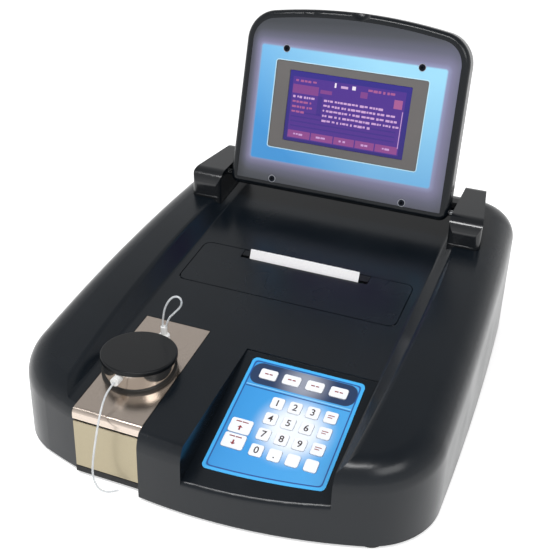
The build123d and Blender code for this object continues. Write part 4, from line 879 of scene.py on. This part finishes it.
for row in range(1, 5):
    for column in range(1, 5):
        node = "key_row_%d_%d" % (row, column)
        dress(node, white_cap)
        if (row, column) in digits:
            text = bpy.data.curves.new("digit_%d_%d" % (row, column), "FONT")
            text.body = digits[row, column]
            text.size = 0.0078
            text.align_x = "CENTER"
            text.align_y = "CENTER"
            text.extrude = legend_lift
            text.offset = 0.0001
            text.materials.append(legend_dark)
            digit = bpy.data.objects.new(text.name, text)
            x, v = key_centre(node)
            digit.matrix_world = pad_frame @ Matrix.Translation((x, v - 0.0003, key_top))
            bpy.context.scene.collection.objects.link(digit)
            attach(digit, node + "_body")
        elif column == 4 and row < 4:
            legend_bars("legend_%d_%d" % (row, column), node, ((0, 1.2, 5, 0.7), (-0.6, -0.6, 3.6, 0.7)), legend_red)
for i in range(1, 5):
    node = "soft_key_%d" % i
    dress(node, white_cap)
    legend_bars("soft_legend_%d" % i, node, ((-1.6, 0, 3.0, 1.0), (2.0, 0, 2.6, 1.0)), legend_red)
for i in range(1, 3):
    node = "wide_key_%d" % i
    dress(node, white_cap)
    bars = ((-2.6, 3.5, 4.4, 0.9), (2.6, 3.5, 4.8, 0.9))
    legend_bars("wide_legend_%d" % i, node, bars, legend_red)
    # an arrow under the bars, up on the first key and down on the second
    x, v = key_centre(node)
    way = 1 if i == 1 else -1
    arrow = ((-2.1, 0.2), (0.0, 2.0), (2.1, 0.2), (0.7, 0.2), (0.7, -2.2), (-0.7, -2.2), (-0.7, 0.2))
    shape = bmesh.new()
    faces = []
    for level in (key_top - 0.00002, key_top + legend_lift):
        corners = [
            shape.verts.new(pad_frame @ Vector((x + dx / 1000, v + (way * dv - 1.6) / 1000, level)))
            for dx, dv in arrow
        ]
        faces.append(corners)
        shape.faces.new(corners)
    for j in range(len(arrow)):
        k = (j + 1) % len(arrow)
        shape.faces.new((faces[0][j], faces[0][k], faces[1][k], faces[1][j]))
    bmesh.ops.recalc_face_normals(shape, faces=shape.faces)
    new_piece("wide_arrow_%d" % i, shape, legend_red, node + "_body")


# ---- Boards, lamp, filter wheel, pump ----
# What the housing hides: glass-fibre boards, an extruded lamp housing, an anodised wheel, motors
# with plated cans and an acetal pump.
port_shell_y = 0.187


def solder_mask():
    material, tree, surface = new_material("solder_masked_board")
    place = add_node(tree, "ShaderNodeTexCoord", {})
    tracks = add_node(tree, "ShaderNodeTexBrick", {"Vector": place.outputs["Object"], "Scale": 1 / 0.012})
    tracks.inputs["Color1"].default_value = srgb("1a6b3c")
    tracks.inputs["Color2"].default_value = srgb("175f36")
    tracks.inputs["Mortar"].default_value = srgb("2f8a52")
    # the serial port at the board's rear edge is a nickel-plated shell
    depth = add_node(tree, "ShaderNodeSeparateXYZ", {0: place.outputs["Object"]})
    shell = add_node(tree, "ShaderNodeMath", {0: depth.outputs["Y"], 1: port_shell_y}, operation="GREATER_THAN")
    ink = add_node(
        tree, "ShaderNodeMix", {0: shell, 6: tracks.outputs["Color"], 7: srgb("8d9093")}, data_type="RGBA"
    )
    tree.links.new(ink.outputs[2], surface.inputs["Base Color"])
    tree.links.new(shell.outputs[0], surface.inputs["Metallic"])
    surface.inputs["Roughness"].default_value = 0.35
    return material


board = solder_mask()
dress("main_board", board)
dress("keypad_board", board)
dress("lamp_house", brushed_stainless("extruded_aluminium", "c2c4c6", 0.35, 1))
dress("filter_wheel", moulded_plastic("black_anodised_wheel", "141416", "1c1c1f", 0.4))
dress("filter_motor", plated_steel("plated_motor_can", "9b9da0", 0.28))
dress("pump_motor", plated_steel("plated_pump_motor", "8c8e91", 0.3))
pump_acetal = moulded_plastic("moulded_acetal_pump", "c9c8c4", "d6d5d1", 0.4)
dress("pump_head", pump_acetal)
dress("pump_rotor", pump_acetal)
dress("flow_cell", moulded_plastic("machined_acrylic_cell", "bfc4c6", "d2d6d8", 0.25))

# ---- Power inlet and rocker ----
# A thermoset appliance inlet with its switch, matt black.
dress("power_inlet", moulded_plastic("moulded_thermoset_inlet", "0f0f10", "161617", 0.5))
dress("rocker_switch", moulded_plastic("moulded_nylon_rocker", "0c0c0d", "121213", 0.4))
